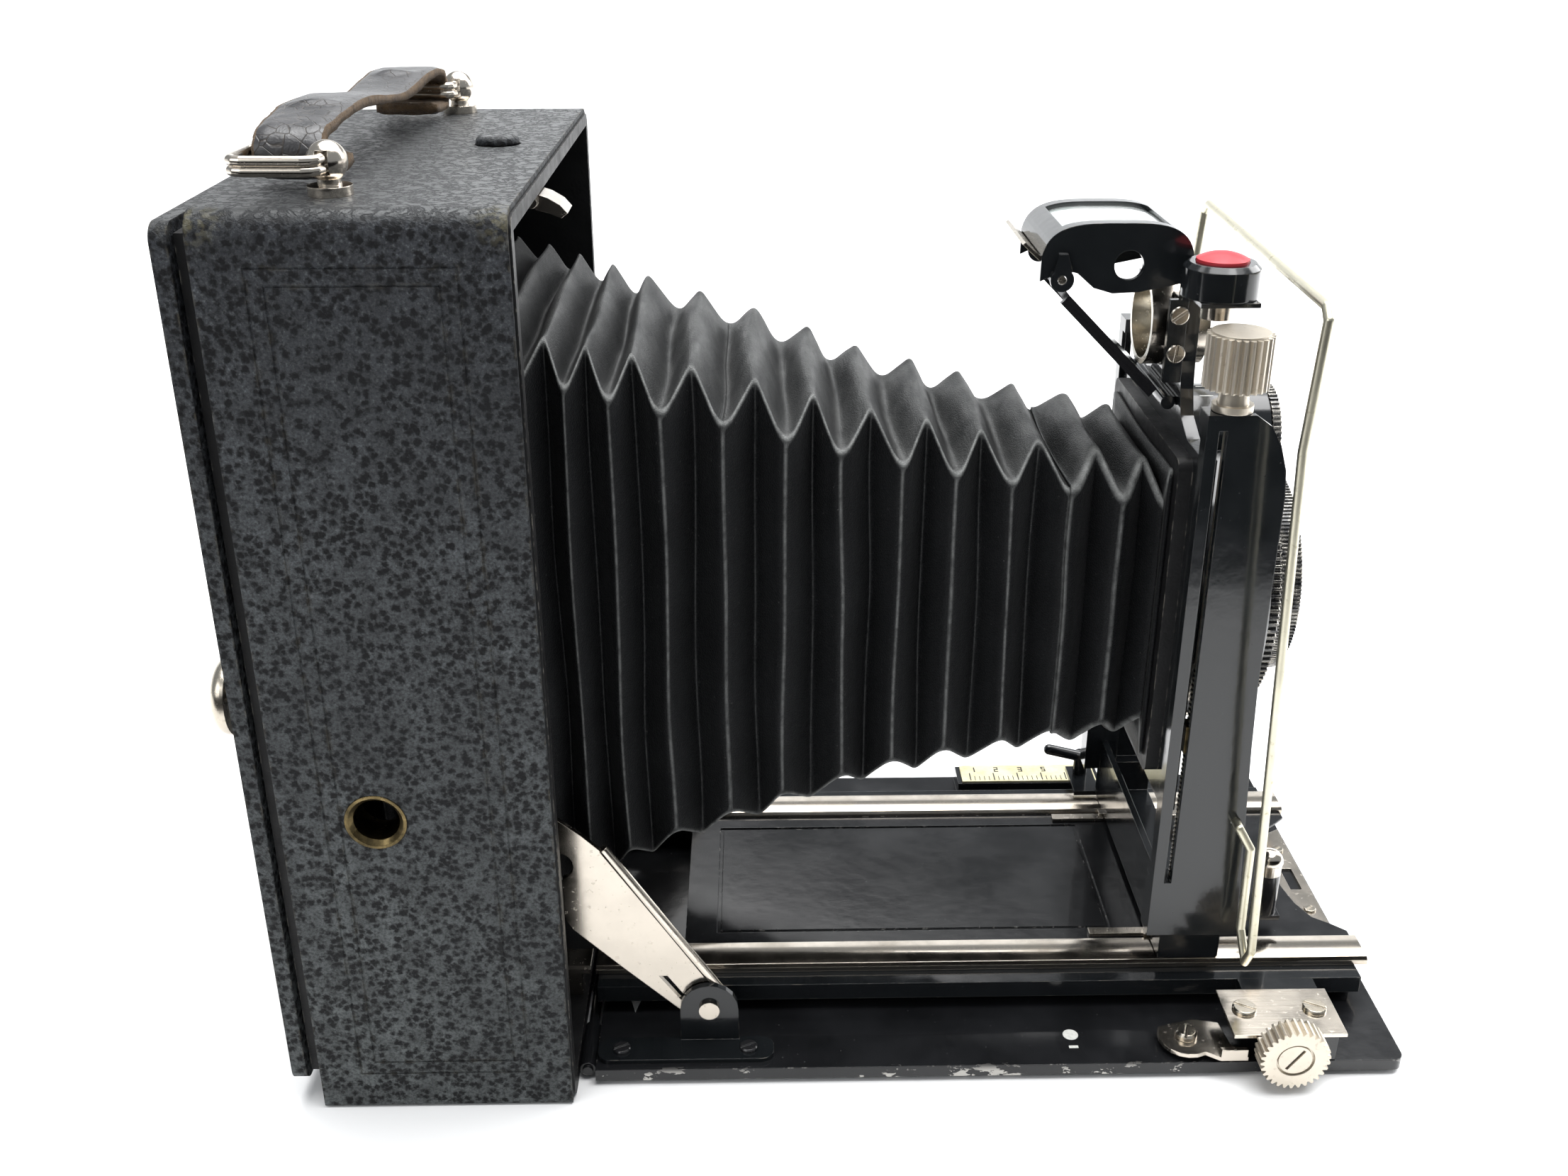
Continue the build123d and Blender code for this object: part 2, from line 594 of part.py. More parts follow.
def rise_nut():
    nut = box(PANEL_X1, 118.0, -32.4, -29.0, 60.2, 65.8)
    return nut - rod((SCREW_X, -SCREW_Y, 50.0), (SCREW_X, -SCREW_Y, 80.0), SCREW_R + 0.1)


def bellows_front_frame():
    frame = box(109.6, 112.2, -26.0, 26.0, 52.0, 116.0)
    frame = fillet(frame.edges().filter_by(Axis.X), 2.0)
    return frame - box(108, 113, -21.0, 21.0, 57.0, 111.0)


def shutter_housing():
    """Dial-set shutter: round case, with the speed dial's drum on its head."""
    case = rod((PANEL_X1, 0, LENS_Z), (128.6, 0, LENS_Z), 29.6)
    case = chamfer(case.edges().group_by(Axis.X)[-1], 1.0)
    case += rod((116.4, 0, 112.4), (131.3, 0, 112.4), 9.4)
    case += box(PANEL_X1, 118.0, -6.0, 6.0, 108.0, 118.0)
    case -= rod((110, 0, LENS_Z), (140, 0, LENS_Z), 9.6)
    return case - rod((127.2, 0, LENS_Z), (130, 0, LENS_Z), 17.7)


def speed_dial():
    dial = fluted((131.5, 0, 112.4), (133.1, 0, 112.4), 9.6, 9.3, 60)
    hub = rod((133.0, 0, 112.4), (134.0, 0, 112.4), 2.2)
    return dial + hub


def iris_ring():
    """Coarsely knurled ring round the case that sets the iris."""
    ring = fluted((128.9, 0, LENS_Z), (131.2, 0, LENS_Z), 26.6, 25.9, 120)
    ring -= rod((125, 0, LENS_Z), (140, 0, LENS_Z), 18.3)
    gap = arc(0.0, LENS_Z, 40.0, 40, 140, 6) + [(0.0, LENS_Z + 16.0)]
    return ring - plate_x(gap, 125.0, 140.0)


def lens_barrel():
    """Front barrel with a bright band, and the rear cell inside the bellows."""
    front = rod((128.6, 0, LENS_Z), (RIM_X, 0, LENS_Z), 17.6)
    front += rod((130.6, 0, LENS_Z), (131.6, 0, LENS_Z), 18.0)
    front -= rod((128, 0, LENS_Z), (140, 0, LENS_Z), 14.4)
    rear = rod((104.0, 0, LENS_Z), (112.0, 0, LENS_Z), 12.4)
    rear += rod((103.0, 0, LENS_Z), (128.7, 0, LENS_Z), 9.5)
    rear += rod((127.4, 0, LENS_Z), (128.7, 0, LENS_Z), 17.6)
    rear -= rod((100.0, 0, LENS_Z), (140.0, 0, LENS_Z), 8.2)
    return front + rear


def lens_rim():
    rim = fluted((RIM_X, 0, LENS_Z), (RIM_X + 3.8, 0, LENS_Z), 20.2, 19.9, 160)
    return rim - cone((RIM_X - 1.0, 0, LENS_Z), (RIM_X + 4.4, 0, LENS_Z), 12.8, 17.2)


def lens_glass():
    front = rod((130.4, 0, LENS_Z), (132.2, 0, LENS_Z), 14.3)
    dome = Pos(132.2 - 16.0, 0, LENS_Z) * Sphere(19.8)
    dome &= rod((132.1, 0, LENS_Z), (140.0, 0, LENS_Z), 11.4)
    rear = rod((104.4, 0, LENS_Z), (106.4, 0, LENS_Z), 8.1)
    return Compound(children=[front + dome, rear])


# ---- reflecting finder and level ------------------------------------------
def finder_bracket():
    """Side cheek of the finder's front, folded back from the panel's neck."""
    cheek = box(108.8, 112.1, -12.4, -11.2, 126.2, 141.4)
    cheek += box(108.8, 112.1, 11.2, 12.4, 126.2, 141.4)
    cheek += box(110.8, 112.1, -12.4, 12.4, 126.2, 141.4)
    cheek -= rod((100, 0, 135.0), (120, 0, 135.0), 8.7)
    x, y = LEVEL
    shelf = box(110.8, 121.0, -24.4, -10.0, LEVEL_Z - 0.8, LEVEL_Z)
    shelf += box(110.8, 112.1, -12.4, -10.0, 141.0, LEVEL_Z)
    shelf -= rod((x, y, 140.0), (x, y, 145.0), 1.5)
    pivot = rod((110.6, -11.0, 122.0), (110.6, 11.0, 122.0), 1.3)
    pivot += box(110.6, 112.1, -10.0, 10.0, 121.2, 122.8)
    return Compound(children=[cheek + shelf, pivot])


def finder_fasteners():
    """Two slotted screws in the cheek and the nut under the level."""
    side = (0, -1, 0)
    a = slotted_screw((110.6, -12.4, 138.6), side, 1.7, 0.6, (1, 0, 0.75))
    b = slotted_screw((110.6, -12.4, 131.6), side, 1.7, 0.6, (0.1, 0, 1))
    x, y = LEVEL
    nut = rod((x, y, LEVEL_Z - 3.8), (x, y, LEVEL_Z - 0.85), 3.0)
    nut -= rod((x, y, 138.0), (x, y, LEVEL_Z), 1.5)
    return Compound(children=[a, b, nut])


def finder_barrel():
    tube = rod((107.0, 0, 135.0), (117.6, 0, 135.0), 8.5)
    tube -= rod((100.0, 0, 135.0), (120.0, 0, 135.0), 7.4)
    return tube


def hood_arch(inset):
    """Rounded arch of the hood from its rear end to its front end, as (x, z) points."""
    points = []
    for i in range(25):
        turn = math.radians(165.0 - 160.0 * i / 24)
        across = abs(math.cos(turn)) ** 0.571
        rise = math.sin(turn) ** 0.571
        x = 98.9 + math.copysign((13.7 - inset) * across, math.cos(turn))
        points.append((x, 144.2 + (10.6 - inset) * rise))
    return points


def finder_hood():
    """Hood with arched cheeks that shades the viewing glass."""
    cheek = hood_arch(0.0)
    cheek += [(112.4, 146.0), (111.0, 144.2), (107.0, 143.4), (103.0, 142.6)]
    cheek += [(98.4, 142.4), (95.0, 143.4), (92.0, 146.0), (89.8, 146.6), (87.6, 145.6), (85.4, 144.6)]
    wall = plate_y(cheek, 10.6, 11.6)
    wall -= rod((101.0, 9.0, 147.4), (101.0, 13.0, 147.4), 2.6)
    top = plate_y(hood_arch(0.0) + hood_arch(1.0)[::-1], -11.6, 11.6)
    top -= box(89.2, 108.4, -8.8, 8.8, 150.0, 158.0)
    lug = rod((89.2, 11.6, 145.0), (89.2, 12.5, 145.0), 2.1)
    lug -= rod((89.2, 9.0, 145.0), (89.2, 14.0, 145.0), 0.8)
    lug += plate_y([(87.6, 146.4), (91.0, 146.4), (90.0, 149.6), (88.4, 149.6)], 11.6, 12.5)
    side = wall + lug
    return top + side + mirror_y(side)


def finder_optics():
    """Viewing glass of the hood and lens of the finder."""
    glass = box(88.4, 109.2, -9.6, 9.6, 150.6, 151.8)
    lens = rod((113.2, 0, 135.0), (115.0, 0, 135.0), 7.35)
    return Compound(children=[glass, lens])


def finder_mirror():
    """Mirror at 45 degrees behind the finder's lens, with its carrier ribs."""
    plane = Plane(origin=(99.4, 0, 132.6), x_dir=(1, 0, -1), z_dir=(1, 0, 1))
    sheet = plane * Box(24.6, 20.4, 1.3)
    rib = plane * (Pos(0, 9.8, -0.9) * Box(24.6, 1.2, 1.0) + Pos(0, -9.8, -0.9) * Box(24.6, 1.2, 1.0))
    return sheet + rib


def finder_lid():
    """Thin lid that covers the glass, hinged on the rear lugs."""
    leaf = plate_y([(82.2, 150.8), (82.7, 151.2), (89.6, 145.2), (88.9, 144.6)], -10.2, 10.2)
    return leaf + rod((89.2, -12.4, 145.0), (89.2, 12.4, 145.0), 0.7)


def level_housing():
    x, y = LEVEL
    cup = rod((x, y, LEVEL_Z + 0.1), (x, y, LEVEL_Z + 6.0), 6.6)
    cup = chamfer(cup.edges().group_by(Axis.Z)[-1], 0.9)
    cup -= rod((x, y, LEVEL_Z + 1.8), (x, y, LEVEL_Z + 8.0), 4.6)
    return cup + rod((x, y, LEVEL_Z - 3.4), (x, y, LEVEL_Z + 0.8), 1.4)


def level_dome():
    x, y = LEVEL
    dome = Pos(x, y, LEVEL_Z - 1.2) * Sphere(8.9)
    dome &= rod((x, y, LEVEL_Z + 4.4), (x, y, LEVEL_Z + 9.8), 4.5)
    return dome + rod((x, y, LEVEL_Z + 1.9), (x, y, LEVEL_Z + 4.8), 4.5)


# ---- bellows --------------------------------------------------------------
PEAKS = [-35.0, -29.0, -23.4, -18.0, -12.6, -6.9, 0.0, 6.8, 14.2, 24.2, 34.6, 45.0]
PEAKS += [55.4, 65.6, 75.8, 86.2, 96.8, 105.6]
PROFILE = [(-41.6, 46.4, 61.8, 84.0), (-19.0, 42.5, 60.0, 85.0), (-13.0, 39.6, 58.0, 85.8), (0.0, 37.6, 54.0, 86.6)]
PROFILE += [(30.0, 32.6, 45.6, 87.0), (56.0, 27.4, 38.2, 86.0), (108.0, 21.6, 28.0, 84.2)]


def along(x):
    """Half width, half height and centre height of the folds at x."""
    for a, b in zip(PROFILE, PROFILE[1:]):
        if x <= b[0]:
            t = (x - a[0]) / (b[0] - a[0])
            return [a[i] + (b[i] - a[i]) * t for i in (1, 2, 3)]
    return list(PROFILE[-1][1:])


def section(x, inset):
    """Chamfered rectangle across the bellows."""
    hw, hh, zc = along(x)
    hw -= inset
    hh -= inset
    c = 5.0
    points = [(-hw + c, -hh), (hw - c, -hh), (hw, -hh + c), (hw, hh - c)]
    points += [(hw - c, hh), (-hw + c, hh), (-hw, hh - c), (-hw, -hh + c)]
    plane = Plane(origin=(x, 0, zc), x_dir=(0, 1, 0), z_dir=(1, 0, 0))
    return plane * make_face(Polyline(*points, close=True))


def fold_stack(extra):
    """Solid through every peak and valley."""
    stations = [(-41.6, 3.0)]
    for i, x in enumerate(PEAKS):
        stations.append((x, 0.0))
        nxt = PEAKS[i + 1] if i + 1 < len(PEAKS) else 109.6
        depth = 3.6 if x < -4 else 5.6
        stations.append(((x + nxt) / 2, depth))
    stations[-1] = (109.6, 1.6)
    faces = [section(x, inset + extra) for x, inset in stations]
    return loft(faces, ruled=True)


def bellows():
    return fold_stack(0.0) - fold_stack(0.9)


NODES = {
    "body_box": body_box,
    "body_leather": body_leather,
    "bellows_rear_frame": bellows_rear_frame,
    "body_rails": body_rails,
    "release_button": release_button,
    "bed_catch": bed_catch,
    "tripod_bush": tripod_bush,
    "back_frame": back_frame,
    "ground_glass": ground_glass,
    "back_cover": back_cover,
    "back_knob": back_knob,
    "handle_posts": handle_posts,
    "handle_rings": handle_rings,
    "handle_strap": handle_strap,
    "bed_panel": bed_panel,
    "bed_covering": bed_covering,
    "bed_hinge": bed_hinge,
    "track_guides": track_guides,
    "latch_plate": latch_plate,
    "strut_brackets": strut_brackets,
    "struts": struts,
    "strut_pins": strut_pins,
    "bed_screws": bed_screws,
    "bearing_block": bearing_block,
    "bearing_plate": bearing_plate,
    "focus_shaft": focus_shaft,
    "focus_knob": focus_knob,
    "lock_lever": lock_lever,
    "scale_plate": scale_plate,
    "carriage_plate": carriage_plate,
    "carriage_rails": carriage_rails,
    "focus_racks": focus_racks,
    "standard_frame": standard_frame,
    "standard_clamps": standard_clamps,
    "rise_screw": rise_screw,
    "rail_lock_lever": rail_lock_lever,
    "grip_near": lambda: grip(-1),
    "grip_far": lambda: grip(1),
    "wire_frame": wire_frame,
    "lens_panel": lens_panel,
    "rise_nut": rise_nut,
    "bellows_front_frame": bellows_front_frame,
    "shutter_housing": shutter_housing,
    "speed_dial": speed_dial,
    "iris_ring": iris_ring,
    "lens_barrel": lens_barrel,
    "lens_rim": lens_rim,
    "lens_glass": lens_glass,
    "finder_bracket": finder_bracket,
    "finder_fasteners": finder_fasteners,
    "finder_barrel": finder_barrel,
    "finder_hood": finder_hood,
    "finder_optics": finder_optics,
    "finder_mirror": finder_mirror,
    "finder_lid": finder_lid,
    "level_housing": level_housing,
    "level_dome": level_dome,
    "bellows": bellows,
}

for name, make in NODES.items():
    solids = [Pos(ORIGIN_X, 0, 0) * s for s in make().solids()]
    shape = solids[0] if len(solids) == 1 else Compound(children=solids)
    export_step(shape, "parts/" + name + ".step")
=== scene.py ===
import json
import math

import bmesh
import bpy
from mathutils import Matrix, Vector, noise


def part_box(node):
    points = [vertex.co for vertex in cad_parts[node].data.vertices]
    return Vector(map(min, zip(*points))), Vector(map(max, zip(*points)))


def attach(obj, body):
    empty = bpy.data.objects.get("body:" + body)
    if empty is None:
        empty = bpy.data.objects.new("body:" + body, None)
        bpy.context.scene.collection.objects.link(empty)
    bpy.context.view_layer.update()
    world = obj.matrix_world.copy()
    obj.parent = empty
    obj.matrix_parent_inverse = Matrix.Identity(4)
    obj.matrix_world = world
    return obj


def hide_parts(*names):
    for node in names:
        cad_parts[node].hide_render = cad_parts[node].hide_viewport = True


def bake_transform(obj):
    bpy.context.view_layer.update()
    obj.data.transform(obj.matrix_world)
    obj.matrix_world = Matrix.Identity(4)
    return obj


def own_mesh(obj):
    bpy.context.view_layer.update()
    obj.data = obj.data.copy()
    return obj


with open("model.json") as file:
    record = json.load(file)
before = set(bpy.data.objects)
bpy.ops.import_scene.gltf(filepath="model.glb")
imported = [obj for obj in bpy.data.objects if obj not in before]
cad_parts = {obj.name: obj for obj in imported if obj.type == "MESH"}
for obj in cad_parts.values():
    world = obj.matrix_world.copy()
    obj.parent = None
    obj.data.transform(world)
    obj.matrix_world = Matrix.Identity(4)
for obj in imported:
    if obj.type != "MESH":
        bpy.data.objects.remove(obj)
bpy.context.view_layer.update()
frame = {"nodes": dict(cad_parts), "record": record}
nodes = frame["nodes"]
BODY_FRONT = 0.0235    # the body's front face; distances forward are taken from it


def at(x, y, z):
    """Millimetres from the body's front face, in the row frame."""
    return Vector((x / 1000 + BODY_FRONT, y / 1000, z / 1000))


# ---- materials ------------------------------------------------------------
class Finish:
    """A material and short calls that add nodes to it. Distances are in metres."""

    def __init__(self, name, metallic=0.0, coat=0.0, coat_roughness=0.1, sheen=0.0, specular=0.5):
        self.mat = bpy.data.materials.new(name)
        self.mat.use_nodes = True
        self.tree = self.mat.node_tree
        self.bsdf = self.tree.nodes["Principled BSDF"]
        for key, value in (("Metallic", metallic), ("IOR", 1.5), ("Coat Weight", coat),
                           ("Coat Roughness", coat_roughness), ("Sheen Weight", sheen),
                           ("Specular IOR Level", specular)):
            self.bsdf.inputs[key].default_value = value
        self.place = self.node("ShaderNodeTexCoord").outputs["Object"]

    def node(self, kind, sockets=None, **settings):
        made = self.tree.nodes.new(kind)
        for key, value in settings.items():
            setattr(made, key, value)
        for key, value in (sockets or {}).items():
            if isinstance(value, bpy.types.NodeSocket):
                self.tree.links.new(value, made.inputs[key])
            else:
                made.inputs[key].default_value = value
        return made

    def stretch(self, x, y, z):
        sockets = {"Vector": self.place, "Scale": (x, y, z)}
        return self.node("ShaderNodeMapping", sockets).outputs["Vector"]

    def noise(self, scale, detail=3.0, rough=0.5, where=None):
        sockets = {"Vector": where or self.place, "Scale": scale}
        sockets.update({"Detail": detail, "Roughness": rough})
        return self.node("ShaderNodeTexNoise", sockets).outputs["Fac"]

    def cells(self, scale, feature, where):
        sockets = {"Vector": where, "Scale": scale}
        return self.node("ShaderNodeTexVoronoi", sockets, feature=feature).outputs["Distance"]

    def span(self, value, a, b, c=0.0, d=1.0, smooth=False):
        """The value's range a to b spread over c to d, and held at its ends."""
        kind = "SMOOTHSTEP" if smooth else "LINEAR"
        sockets = {0: value, 1: a, 2: b, 3: c, 4: d}
        return self.node("ShaderNodeMapRange", sockets, interpolation_type=kind).outputs[0]

    def math(self, operation, a, b=0.0):
        return self.node("ShaderNodeMath", {0: a, 1: b}, operation=operation).outputs[0]

    def mix(self, amount, a, b):
        made = self.node("ShaderNodeMix", data_type="RGBA")
        for key, value in ((0, amount), (6, a), (7, b)):
            if isinstance(value, bpy.types.NodeSocket):
                self.tree.links.new(value, made.inputs[key])
            elif key == 0:
                made.inputs[0].default_value = value
            else:
                made.inputs[key].default_value = (*value, 1.0)
        return made.outputs[2]

    def warp(self, scale, amount):
        """Coordinates pushed about by a noise, by up to half the amount."""
        sockets = {"Vector": self.place, "Scale": scale, "Detail": 2.0}
        wobble = self.node("ShaderNodeTexNoise", sockets)
        shift = self.vector("SUBTRACT", {0: wobble.outputs["Color"], 1: (0.5, 0.5, 0.5)})
        size = self.vector("SCALE", {0: shift.outputs[0], "Scale": amount})
        return self.vector("ADD", {0: self.place, 1: size.outputs[0]}).outputs[0]

    def vector(self, operation, sockets):
        return self.node("ShaderNodeVectorMath", sockets, operation=operation)

    def along(self, axis):
        split = self.node("ShaderNodeSeparateXYZ", {0: self.place})
        return split.outputs["XYZ".index(axis)]

    def facing(self, axis):
        normal = self.node("ShaderNodeNewGeometry").outputs["Normal"]
        return self.node("ShaderNodeSeparateXYZ", {0: normal}).outputs["XYZ".index(axis)]

    def near(self, point, radius):
        """1 at a point, falling to 0 at the radius."""
        gap = self.vector("DISTANCE", {0: self.place, 1: tuple(point)})
        return self.span(gap.outputs["Value"], 0.0, radius, 1.0, 0.0)

    def round_edges(self, radius):
        return self.node("ShaderNodeBevel", {"Radius": radius}, samples=4).outputs["Normal"]

    def edges(self, radius):
        """1 on sharp edges and 0 on flat ground."""
        flat = self.node("ShaderNodeNewGeometry").outputs["Normal"]
        dot = self.vector("DOT_PRODUCT", {0: self.round_edges(radius), 1: flat})
        return self.span(dot.outputs["Value"], 0.995, 0.86)

    def bump(self, height, depth, base=None):
        sockets = {"Height": height, "Distance": depth, "Strength": 1.0}
        if base is not None:
            sockets["Normal"] = base
        return self.node("ShaderNodeBump", sockets).outputs["Normal"]

    def set(self, color=None, roughness=None, normal=None, metallic=None):
        keys = ("Base Color", "Roughness", "Normal", "Metallic")
        for key, value in zip(keys, (color, roughness, normal, metallic)):
            if isinstance(value, bpy.types.NodeSocket):
                self.tree.links.new(value, self.bsdf.inputs[key])
            elif isinstance(value, tuple):
                self.bsdf.inputs[key].default_value = (*value, 1.0)
            elif value is not None:
                self.bsdf.inputs[key].default_value = value
        return self.mat


def pebble_leather():
    """Black pebbled leather: pits on the sides with painted shade in them, fine creases on the top
    under a painted sheen, wear at the corners.
    """
    f = Finish("pebble_leather", specular=0.30)
    top = f.span(f.facing("Z"), 0.55, 0.90)
    # pits: cells with torn outlines, mottled inside
    torn = f.math("MULTIPLY", f.math("SUBTRACT", f.noise(1900.0, 3.0, 0.6), 0.5), 0.75)
    pits = f.math("ADD", f.cells(720.0, "F1", f.warp(900.0, 0.0010)), torn)
    pits = f.span(pits, 0.24, 0.70, smooth=True)
    mottle = f.span(f.noise(1700.0, 4.0, 0.65), 0.38, 0.62)
    pits = f.math("MULTIPLY", pits, f.math("ADD", f.math("MULTIPLY", mottle, 0.6), 0.4))
    # the top has creases where the sides have pits
    fine = f.noise(2600.0, 4.0, 0.6)
    creases = f.noise(430.0, 5.0, 0.62, f.warp(160.0, 0.004))
    creases = f.span(f.math("ABSOLUTE", f.math("SUBTRACT", creases, 0.5)), 0.0, 0.075)
    height = f.math("ADD", f.math("MULTIPLY", pits, 0.75), f.math("MULTIPLY", fine, 0.35))
    crown = f.math("ADD", f.math("MULTIPLY", creases, 0.45), f.math("MULTIPLY", fine, 0.30))
    height = f.node("ShaderNodeMix", {0: top, 2: height, 3: crown}).outputs[0]
    # the sides are paler near the base; the top's pale grey is a painted sheen, brightest towards
    # the front
    broad = f.noise(24.0, 3.0)
    patch = f.span(f.noise(190.0, 3.0, 0.6), 0.35, 0.70, 0.55, 1.0)
    ground = f.mix(f.span(f.along("Z"), 0.015, 0.165), (0.112, 0.124, 0.124), (0.028, 0.032, 0.040))
    fleck = f.math("MULTIPLY", f.span(f.noise(2100.0, 3.0, 0.6), 0.52, 0.70), 0.7)
    ground = f.mix(fleck, ground, (0.118, 0.128, 0.134))
    # painted shade: the pits are near black, and the raised grain between them is lit with the
    # ground colour
    lit = f.math("MULTIPLY", f.span(height, 0.17, 0.85), patch)
    side = f.mix(lit, (0.0010, 0.0012, 0.0020), ground)
    side = f.mix(f.span(broad, 0.45, 0.7, 0.0, 0.35), side, (0.006, 0.007, 0.009))
    # painted sheen: the top's crests take a pale grey
    crest = f.mix(f.span(height, 0.25, 0.75), (0.016, 0.017, 0.019), (0.098, 0.103, 0.104))
    # the painted sheen fades to near black towards the back
    crest = f.mix(f.span(f.along("X"), -0.020, 0.014, 0.72, 0.0), crest, (0.008, 0.009, 0.010))
    color = f.mix(top, side, crest)
    # rubbed edges, and stains on three corners of the body
    rub = f.math("MULTIPLY", f.edges(0.0007), f.span(f.noise(420.0, 3.0), 0.48, 0.62))
    color = f.mix(f.math("MULTIPLY", rub, 0.35), color, (0.15, 0.13, 0.09))
    for corner in (at(-46.5, -57, 166), at(-0.5, -57, 166), at(-46.5, 57, 166)):
        stain = f.math("MULTIPLY", f.near(corner, 0.0062), f.span(f.noise(900.0, 3.0), 0.46, 0.60))
        color = f.mix(f.math("MULTIPLY", stain, 0.6), color, (0.15, 0.135, 0.075))
    side_rough = f.span(height, 0.1, 0.9, 0.75, 0.50)
    top_rough = f.span(creases, 0.0, 1.0, 0.55, 0.38)
    rough = f.node("ShaderNodeMix", {0: top, 2: side_rough, 3: top_rough}).outputs[0]
    return f.set(color, rough, f.bump(height, 0.00026, f.round_edges(0.0006)))


def strap_leather():
    """Smooth black leather of the handle, cracked and uneven."""
    f = Finish("strap_leather", specular=0.5, coat=0.3, coat_roughness=0.3)
    cracks = f.span(f.cells(420.0, "DISTANCE_TO_EDGE", f.warp(150.0, 0.003)), 0.0, 0.05)
    broad = f.noise(160.0, 4.0, 0.6)
    fine = f.noise(2600.0, 3.0)
    color = f.mix(f.span(broad, 0.42, 0.7), (0.006, 0.006, 0.008), (0.024, 0.023, 0.026))
    open_cracks = f.math("MULTIPLY", f.math("SUBTRACT", 1.0, cracks), 0.5)
    color = f.mix(open_cracks, color, (0.05, 0.035, 0.02))
    height = f.math("ADD", f.math("MULTIPLY", cracks, 0.5), f.math("MULTIPLY", fine, 0.3))
    height = f.math("ADD", height, f.math("MULTIPLY", broad, 0.9))
    return f.set(color, f.span(broad, 0.3, 0.7, 0.28, 0.5), f.bump(height, 0.00022))


def suede():
    """Rough brown flesh side, which shows on the strap's cut edges."""
    f = Finish("strap_suede", sheen=0.2, specular=0.2)
    fibre = f.noise(3800.0, 4.0, 0.7)
    clump = f.noise(600.0, 3.0)
    color = f.mix(fibre, (0.040, 0.023, 0.010), (0.24, 0.15, 0.075))
    color = f.mix(f.span(clump, 0.4, 0.7, 0.0, 0.55), color, (0.020, 0.014, 0.010))
    return f.set(color, 0.95, f.bump(f.math("ADD", fibre, f.math("MULTIPLY", clump, 1.5)), 0.0005))


def bellows_leather():
    """Thin leather, nearly black on its sides: its upper facets are lighter with a painted sheen,
    and its creases pale with wear and a painted highlight.
    """
    f = Finish("bellows_leather", specular=0.16, sheen=0.02)
    rim = f.node("ShaderNodeAttribute", attribute_name="rim").outputs["Fac"]
    up = f.span(f.facing("Z"), 0.25, 0.80)
    grain = f.cells(1700.0, "DISTANCE_TO_EDGE", f.warp(500.0, 0.0006))
    grain = f.span(grain, 0.0, 0.22, smooth=True)
    fine = f.noise(3600.0, 3.0, 0.6)
    pull = f.noise(150.0, 4.0, 0.6, f.stretch(2.4, 0.5, 0.8))
    broad = f.noise(55.0, 3.0)
    dark = f.mix(f.span(broad, 0.35, 0.7), (0.0022, 0.0026, 0.0032), (0.0050, 0.0056, 0.0064))
    # painted sheen: the upward facets take a lighter, streaked grey
    light = f.mix(f.span(pull, 0.34, 0.66), (0.020, 0.021, 0.021), (0.062, 0.063, 0.062))
    color = f.mix(up, dark, light)
    patchy = f.span(f.noise(420.0, 4.0, 0.6), 0.30, 0.60, 0.30, 1.0)
    # the creases are pale with wear and a painted highlight
    worn = f.math("MULTIPLY", f.span(rim, 0.25, 0.95), patchy)
    color = f.mix(f.math("MULTIPLY", worn, 0.85), color, (0.215, 0.220, 0.215))
    dust = f.span(f.noise(1500.0, 2.0, 0.5), 0.70, 0.78)
    color = f.mix(f.math("MULTIPLY", dust, 0.4), color, (0.10, 0.10, 0.095))
    height = f.math("ADD", f.math("MULTIPLY", grain, 0.22), f.math("MULTIPLY", fine, 0.25))
    height = f.math("ADD", height, f.math("MULTIPLY", pull, 1.2))
    shine = f.math("MULTIPLY", f.span(pull, 0.3, 0.7), 0.10)
    rough = f.math("SUBTRACT", f.span(up, 0.0, 1.0, 0.62, 0.50), shine)
    return f.set(color, rough, f.bump(height, 0.00020))


def enamel():
    """Gloss black enamel, rubbed through to the metal here and there on its edges."""
    f = Finish("black_enamel", coat=0.25, coat_roughness=0.05, specular=0.46)
    patch = f.span(f.noise(380.0, 4.0, 0.65), 0.54, 0.64)
    rubbed = f.math("MULTIPLY", f.math("MULTIPLY", f.edges(0.00022), patch), 0.55)
    dust = f.span(f.noise(1900.0, 2.0, 0.5), 0.73, 0.80, 0.0, 0.5)
    haze = f.noise(90.0, 4.0, 0.6)
    color = (0.0060, 0.0070, 0.0078)
    base = f.mix(f.span(haze, 0.35, 0.75, 0.0, 0.6), color, tuple(c * 1.9 for c in color))
    base = f.mix(dust, base, (0.07, 0.07, 0.07))
    base = f.mix(rubbed, base, (0.30, 0.27, 0.22))
    rough = f.math("ADD", f.span(haze, 0.3, 0.75, 0.10, 0.20), f.math("MULTIPLY", rubbed, 0.2))
    peel = f.bump(f.noise(260.0, 3.0), 0.00004, f.round_edges(0.00025))
    return f.set(base, rough, peel, rubbed)


